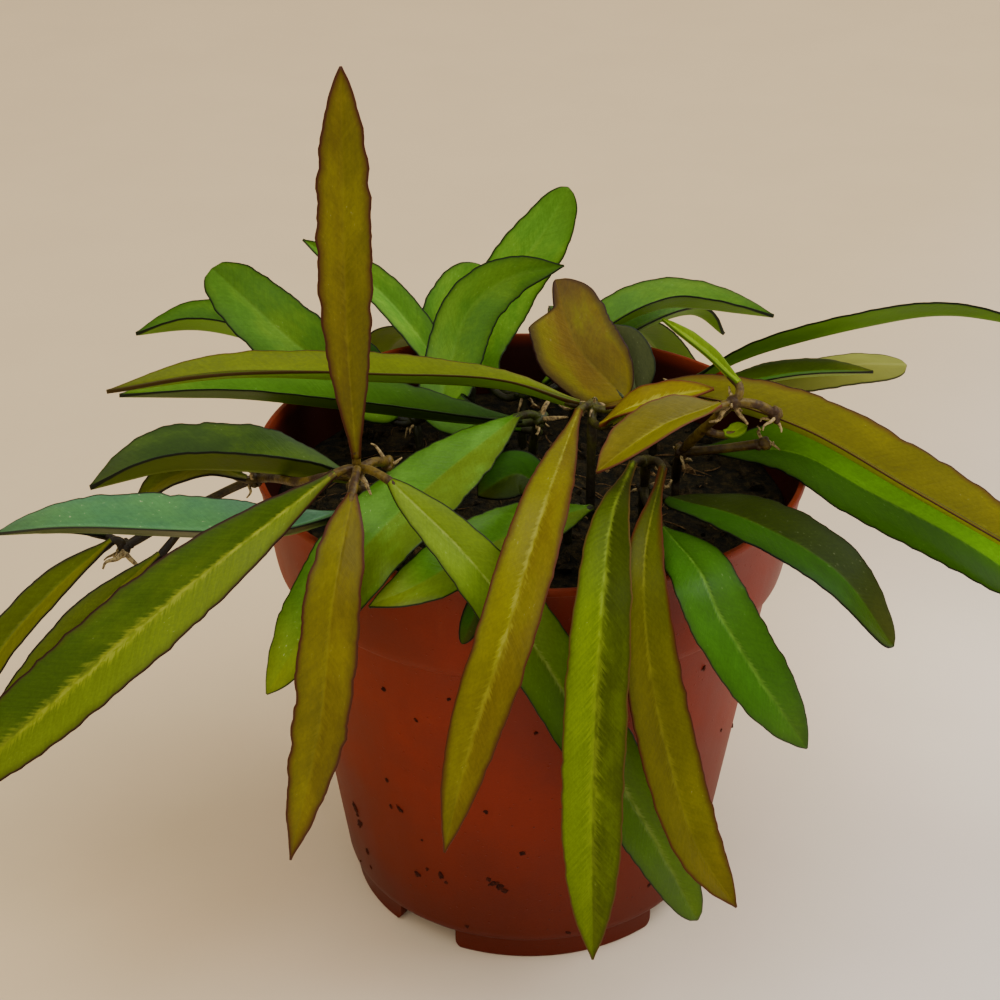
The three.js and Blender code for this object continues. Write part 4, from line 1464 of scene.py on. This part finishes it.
@dataclass
class Pot:
    """The moulded nursery pot, turned about its axis, with its notches and drain holes cut.

    A flake of dry soil is an angle round the wall in degrees, a height and a size.
    """

    outside: tuple[Point, ...] = (
        (38.2, 5.6), (38.2, 0.3), (38.5, 0), (40.1, 0), (40.4, 0.3), (40.4, 4.6), (40.7, 5.3),
        (41.6, 5.9), (42.1, 6.8), (42.5, 8.2), (48.05, 45.3), (53.6, 82.4), (53.9, 83.1),
        (54.6, 83.6), (55.4, 84.2), (56.0, 85.2), (56.3, 86.4), (56.6, 88), (58.1, 98), (59.45, 106.6),
        (59.6, 106.9), (59.95, 107.1), (60, 107.4), (60, 108), (59.8, 108.4), (59.3, 108.5),
        (58.8, 108.4), (58.6, 108))
    inside: tuple[Point, ...] = (
        (57, 98), (55.2, 87), (54.6, 85.6), (53.2, 84), (52.2, 82.6), (46.6, 45), (41, 9.4),
        (40, 8), (38, 7.2))
    floor_below: float = 5.6
    floor_above: float = 7.2
    notch_count: int = 4
    notch_size: Point = (8.0, 15.4, 5.2)
    foot_round: float = 2.2
    notch_round: float = 0.8
    notch_angle: float = -124.0
    notch_ring: float = 40.4
    drain_count: int = 6
    drain_radius: float = 4.0
    drain_ring: float = 24.0
    drain_depth: float = 20.0
    sides: int = 160
    edge_round: float = 0.25
    sharp_angle: float = 50.0
    smooth_angle: float = 40.0
    flakes: tuple[Point, ...] = (
        (-148.2, 29.3, 1.0), (-147.5, 27.2, 0.7), (-146.9, 24.8, 1.1), (-145.8, 17.0, 0.9),
        (-145.6, 12.2, 0.6), (-154.0, 9.5, 0.5), (-129.1, 38.8, 0.7), (-125.9, 39.3, 0.9),
        (-129.0, 46.5, 0.6), (-122.9, 20.7, 0.9), (-119.1, 23.7, 0.6), (-114.7, 23.4, 1.1),
        (-113.4, 21.4, 0.5), (-100.4, 25.2, 0.8), (-99.0, 24.1, 1.0), (-97.3, 23.4, 1.3),
        (-96.0, 22.2, 1.0), (-91.0, 34.1, 0.9), (-100.4, 45.7, 0.6), (-88.1, 69.3, 0.6),
        (-107.9, 76.4, 0.6), (-116.9, 68.2, 0.5), (-125.1, 73.8, 0.6), (-119.7, 32.4, 0.5),
        (-107.8, 8.8, 0.6), (-45.8, 76.8, 0.8), (-29.4, 51.4, 0.5), (-14.0, 44.0, 0.8),
        (-77.0, 8.1, 0.6), (-50.6, 15.7, 0.7), (24.0, 30.0, 0.9), (71.0, 22.0, 0.8),
        (118.0, 40.0, 0.7), (166.0, 18.0, 0.9), (141.0, 63.0, 0.6))
    flake_thinness: float = 0.28
    flake_lift: float = 0.05
    crust: SoilFinish = SoilFinish("crust", dark="34120a", light="54200e", scale=0.9)
    finish: PotFinish = PotFinish()

    FLAKE_SEED = 5
    FLAKE_UNEVENNESS = 0.9
    FLAKE_WIDTHS = (0.5, 0.8)
    FLAKE_LENGTHS = (0.6, 1.3)

    def shell(self) -> bmesh.types.BMesh:
        """Turn the wall and floor about the pot's axis.

        Returns:
            The closed shell, in metres.
        """
        mesh = bmesh.new()
        profile = [(0.0, self.floor_below), *self.outside, *self.inside, (0.0, self.floor_above)]
        turn_profile(mesh, profile, self.sides, MM)
        bmesh.ops.recalc_face_normals(mesh, faces=mesh.faces)
        return mesh

    def notch_outline(self, half: float, height: float) -> list[Point]:
        """Draw a notch seen from outside, which rounds the lower corners of the foot beside it.

        Args:
            half: Half of its width.
            height: Its height.

        Returns:
            The outline's corners, across and up.
        """
        lower, upper = self.foot_round, self.notch_round
        turns = [i * math.pi / 12 for i in range(7)]
        right = [(half + lower, -1.0)]
        right += [(half + lower * (1 - math.sin(a)), lower * (1 - math.cos(a))) for a in turns]
        right += [(half - upper * (1 - math.cos(a)), height - upper * (1 - math.sin(a))) for a in turns]
        return right + [(-y, z) for y, z in reversed(right)]

    def cutters(self) -> bmesh.types.BMesh:
        """Make the blocks and posts that cut the notches and drain holes.

        Returns:
            The cutting forms, in metres.
        """
        mesh = bmesh.new()
        depth, width, height = self.notch_size
        for i in range(self.notch_count):
            ring = [mesh.verts.new(((self.notch_ring - depth / 2) * MM, y * MM, z * MM))
                    for y, z in self.notch_outline(width / 2, height)]
            side = mesh.faces.new(ring)
            moved = only_verts(bmesh.ops.extrude_face_region(mesh, geom=[side])["geom"])
            bmesh.ops.translate(mesh, vec=(depth * MM, 0, 0), verts=moved)
            angle = math.radians(self.notch_angle) + i * math.tau / self.notch_count
            turn_about(mesh, ring + moved, angle, "Z")
        for i in range(self.drain_count + 1):
            reach = self.drain_ring * MM if i < self.drain_count else 0
            angle = i * math.tau / self.drain_count
            radius = self.drain_radius * MM
            verts = bmesh.ops.create_cone(mesh, cap_ends=True, segments=40, radius1=radius, radius2=radius,
                                          depth=self.drain_depth * MM)["verts"]
            bmesh.ops.translate(mesh, vec=(reach * math.cos(angle), reach * math.sin(angle), 0), verts=verts)
        bmesh.ops.recalc_face_normals(mesh, faces=mesh.faces)
        return mesh

    def radius_at(self, height: float) -> float:
        """Work out the outer wall's radius.

        Args:
            height: The height in millimetres.

        Returns:
            The radius in millimetres.
        """
        pairs = zip(self.outside, self.outside[1:])
        return next(lerp(r0, r1, (height - z0) / (z1 - z0)) for (r0, z0), (r1, z1) in pairs
                    if z0 <= height < z1)

    def add_flakes(self, data: bpy.types.Mesh) -> None:
        """Stick the flakes of dry soil to the pot's mesh, with its second material.

        Args:
            data: The pot's mesh.
        """
        chance = random.Random(self.FLAKE_SEED)
        mesh = bmesh.new()
        mesh.from_mesh(data)
        for angle, height, size in self.flakes:
            verts = uneven_ball(mesh, size, self.FLAKE_UNEVENNESS, chance.uniform(0, 50), 2, 1.4)
            width, length = chance.uniform(*self.FLAKE_WIDTHS), chance.uniform(*self.FLAKE_LENGTHS)
            stretch = (self.flake_thinness, width, length)
            bmesh.ops.scale(mesh, vec=stretch, verts=verts)
            turn_about(mesh, verts, chance.uniform(-1, 1), "X")
            place = (self.radius_at(height) + self.flake_lift, 0, height)
            bmesh.ops.translate(mesh, vec=place, verts=verts)
            turn_about(mesh, verts, math.radians(angle), "Z")
            bmesh.ops.scale(mesh, vec=(MM, MM, MM), verts=verts)
            faces = list({f for v in verts for f in v.link_faces})
            bmesh.ops.recalc_face_normals(mesh, faces=faces)
            for face in faces:
                face.material_index = 1
        mesh.to_mesh(data)
        mesh.free()

    def cut_mesh(self) -> bpy.types.Object:
        """Cut the notches and holes out of the shell and round its edges.

        Returns:
            The pot's object, with the finished mesh.
        """
        pot = link_mesh("fine_pot", self.shell())
        cutter = link_mesh("pot_cutter", self.cutters())
        cut = pot.modifiers.new("cut", "BOOLEAN")
        cut.object = cutter
        cut.operation = "DIFFERENCE"
        cut.solver = "EXACT"
        sharp = pot.modifiers.new("edges", "BEVEL")
        sharp.width = self.edge_round * MM
        sharp.segments = 2
        sharp.limit_method = "ANGLE"
        sharp.angle_limit = math.radians(self.sharp_angle)
        whole = pot.evaluated_get(bpy.context.evaluated_depsgraph_get())
        mesh = bpy.data.meshes.new_from_object(whole)
        pot.modifiers.clear()
        pot.data = mesh
        bpy.data.objects.remove(cutter)
        mesh.shade_smooth()
        mesh.set_sharp_from_angle(angle=math.radians(self.smooth_angle))
        return pot

    def build(self) -> bpy.types.Object:
        """Build and dress the pot.

        Returns:
            The finished object.
        """
        pot = self.cut_mesh()
        mesh = pot.data
        mesh.materials.clear()
        mesh.materials.append(self.finish.build())
        mesh.materials.append(self.crust.build())
        self.add_flakes(mesh)
        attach(pot, BODY)
        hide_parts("pot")
        mesh.calc_loop_triangles()
        LOG.info("fine_pot: %d triangles", len(mesh.loop_triangles))
        return pot


@dataclass
class Soil:
    """The potting mix: a lumpy plug with bark chips and pale fibres on it.

    A swell is a length in millimetres over which the soil's top rises and falls, a seed and a height.
    """

    top: float = 96.0
    reach: float = 56.2
    lower: tuple[Point, ...] = ((54.9, 87.4), (51.9, 82.4), (39.6, 11.0), (37.5, 7.5), (0.0, 7.5))
    rings: int = 46
    sides: int = 130
    swells: tuple[Point, ...] = ((16.0, 3.0, 1.6), (5.0, 9.0, 1.1), (1.8, 5.0, 0.45))
    sag: float = 1.4
    chips: int = 300
    chip_shape: Point = (1.3, 0.8, 0.45)
    coir_chips: float = 0.08
    fibres: int = 130
    ground: SoilFinish = SoilFinish("ground", dark="0e0d05", light="342a12", scale=0.35)
    bark: SoilFinish = SoilFinish("bark", dark="181408", light="40341e", scale=0.5)
    coir: SoilFinish = SoilFinish("coir", dark="5c4428", light="8a6c42", scale=0.8)

    SEED = 11
    CHIP_SIZES = (0.7, 2.4)
    CHIP_MARGIN = 4.0
    FIBRE_MARGIN = 8.0
    FIBRE_LENGTHS = (3, 8)
    FIBRE_RADII = (0.1, 0.22)
    FIBRE_LIFTS = (0.0, 0.9)
    FIBRE_REST = 0.1
    WALL_MARGIN = 1.5

    def height(self, x: float, y: float) -> float:
        """Work out the height of the soil's top.

        Args:
            x: The place to the right of the pot's axis.
            y: The place behind it.

        Returns:
            The height in millimetres.
        """
        share = math.hypot(x, y) / self.reach
        swell = sum(noise.noise((x / length, y / length, seed)) * rise for length, seed, rise in self.swells)
        return self.top + swell * (1 - 0.5 * share ** 6) - self.sag * share ** 2

    def plug(self, piece: Piece) -> None:
        """Turn the plug about the pot's axis and roughen its top.

        Args:
            piece: The soil's piece.
        """
        profile = [(self.reach * i / self.rings, self.top) for i in range(self.rings + 1)]
        turn_profile(piece.mesh, [*profile, *self.lower], self.sides)
        for vert in piece.mesh.verts:
            if vert.co.z > self.top - 0.01:
                vert.co.z = self.height(vert.co.x, vert.co.y)
        piece.paint(piece.mesh.verts, self.ground.build())

    def scatter(self, chance: random.Random, margin: float) -> Vector:
        """Return a random place on the soil's top.

        Args:
            chance: The seeded source of places.
            margin: How far it stays from the wall.

        Returns:
            The place in millimetres.
        """
        radius = (self.reach - margin) * math.sqrt(chance.random())
        angle = chance.uniform(0, math.tau)
        x, y = radius * math.cos(angle), radius * math.sin(angle)
        return Vector((x, y, self.height(x, y)))

    def chip(self, piece: Piece, chance: random.Random, bark: Material, coir: Material) -> None:
        """Drop one flat chip on the soil.

        Args:
            piece: The soil's piece.
            chance: The seeded source of its size, place, turn and kind.
            bark: The material of most chips.
            coir: The material of the other chips.
        """
        size = chance.uniform(*self.CHIP_SIZES)
        place = self.scatter(chance, self.CHIP_MARGIN)
        verts = uneven_ball(piece.mesh, size, 0.5, chance.uniform(0, 90), 1)
        bmesh.ops.scale(piece.mesh, vec=self.chip_shape, verts=verts)
        turn = Quaternion([chance.gauss(0, 1) for _ in range(4)]).normalized()
        bmesh.ops.rotate(piece.mesh, cent=(0, 0, 0), matrix=turn.to_matrix(), verts=verts)
        bmesh.ops.translate(piece.mesh, vec=place, verts=verts)
        piece.paint(verts, coir if chance.random() < self.coir_chips else bark, False)

    def fibre(self, piece: Piece, chance: random.Random, coir: Material) -> None:
        """Lay one bent fibre on the soil, unless it would run into the wall.

        Args:
            piece: The soil's piece.
            chance: The seeded source of its course.
            coir: Its material.
        """
        start = self.scatter(chance, self.FIBRE_MARGIN)
        way = Vector((chance.gauss(0, 1), chance.gauss(0, 1), 0)).normalized()
        length = chance.uniform(*self.FIBRE_LENGTHS)
        side = Vector((-way.y, way.x, 0)) * chance.uniform(-1, 1)
        points = []
        for share in (0.0, 0.5, 1.0):
            spot = start + way * length * share + side * math.sin(math.pi * share)
            if math.hypot(spot.x, spot.y) > self.reach - self.WALL_MARGIN:
                return
            lift = self.height(spot.x, spot.y) + self.FIBRE_REST + chance.uniform(*self.FIBRE_LIFTS)
            points.append(Vector((spot.x, spot.y, lift)))
        thin = chance.uniform(*self.FIBRE_RADII)
        piece.paint(piece.sweep(Path(points), (thin, thin, thin * 0.5), 4, 5), coir)

    def build(self) -> bpy.types.Object:
        """Build and dress the soil.

        Returns:
            The finished object.
        """
        piece = Piece("fine_soil")
        chance = random.Random(self.SEED)
        self.plug(piece)
        bark, coir = self.bark.build(), self.coir.build()
        for _ in range(self.chips):
            self.chip(piece, chance, bark, coir)
        for _ in range(self.fibres):
            self.fibre(piece, chance, coir)
        return piece.place("soil", "soil")


@dataclass(frozen=True)
class PhotoCamera:
    """The camera, at the viewing angle that the pot's ellipses give. Angles are in degrees."""

    place: Point = (0.0, -424.6, 330.8)
    pan: float = -0.9
    tilt: float = 29.0
    roll: float = 0.22
    lens: float = 79.2
    sensor: float = 36.0
    nearest: float = 0.01

    def build(self) -> bpy.types.Object:
        """Set the scene's camera.

        Returns:
            The camera's object.
        """
        pan, tilt, roll = (math.radians(a) for a in (self.pan, self.tilt, self.roll))
        forward = Vector((math.sin(pan) * math.cos(tilt), math.cos(pan) * math.cos(tilt), -math.sin(tilt)))
        level = Vector((math.cos(pan), -math.sin(pan), 0))
        up = level.cross(forward)
        right = level * math.cos(roll) + up * math.sin(roll)
        above = up * math.cos(roll) - level * math.sin(roll)
        data = bpy.data.cameras.new("photo_camera")
        data.lens = self.lens
        data.sensor_width = self.sensor
        data.clip_start = self.nearest
        made = link_object("photo_camera", data)
        turn = Matrix((right, above, -forward)).transposed().to_4x4()
        made.matrix_world = Matrix.Translation(Vector(self.place) * MM) @ turn
        bpy.context.scene.camera = made
        return made


@dataclass(frozen=True)
class SoftLight:
    """A large soft area light, aimed at the plant. Places and sizes are in metres."""

    name: str
    place: Point
    size: Point
    power: float
    colour: Point
    aim: Point = (0.0, 0.0, 0.08)

    def build(self) -> bpy.types.Object:
        """Hang the light.

        Returns:
            The light's object.
        """
        data = bpy.data.lights.new(self.name, "AREA")
        data.shape = "RECTANGLE"
        data.size, data.size_y = self.size
        data.energy = self.power
        data.color = self.colour
        made = link_object(self.name, data)
        place = Vector(self.place)
        turn = (Vector(self.aim) - place).to_track_quat("-Z", "Y")
        made.matrix_world = Matrix.Translation(place) @ turn.to_matrix().to_4x4()
        return made


@dataclass(frozen=True)
class Studio:
    """The plain pale floor and the soft light around it."""

    floor_half: float = 10.0
    sky: str = "dccdb6"
    sky_strength: float = 0.98
    lights: tuple[SoftLight, ...] = (
        SoftLight("key", (1.2, 0.15, 1.5), (1.5, 1.5), 30.0, (0.94, 0.97, 1.0)),
        SoftLight("sheen", (-0.35, -0.45, 1.3), (0.7, 0.7), 5.0, (0.75, 0.88, 1.0)),
        SoftLight("fill", (-0.5, -1.7, 1.3), (1.6, 1.6), 12.0, (1.0, 0.95, 0.88)),
    )

    def build(self) -> None:
        """Lay the floor, set the sky and hang the lights."""
        mesh = bmesh.new()
        bmesh.ops.create_grid(mesh, x_segments=1, y_segments=1, size=self.floor_half)
        floor = link_mesh("studio_floor", mesh)
        floor.data.materials.append(PaperFinish().build())
        world = bpy.data.worlds.new("studio")
        world.use_nodes = True
        backdrop = world.node_tree.nodes["Background"]
        backdrop.inputs["Color"].default_value = tone(self.sky)
        backdrop.inputs["Strength"].default_value = self.sky_strength
        bpy.context.scene.world = world
        for light in self.lights:
            light.build()


def main() -> None:
    """Build the studio, the pot, the soil and every vine."""
    logging.basicConfig(level=logging.INFO, format="%(message)s")
    PhotoCamera().build()
    Studio().build()
    Pot().build()
    Soil().build()
    dress = Wardrobe()
    for seed, vine in enumerate(VINES, start=1):
        vine.build(dress, seed)


if __name__ == "__main__":
    main()
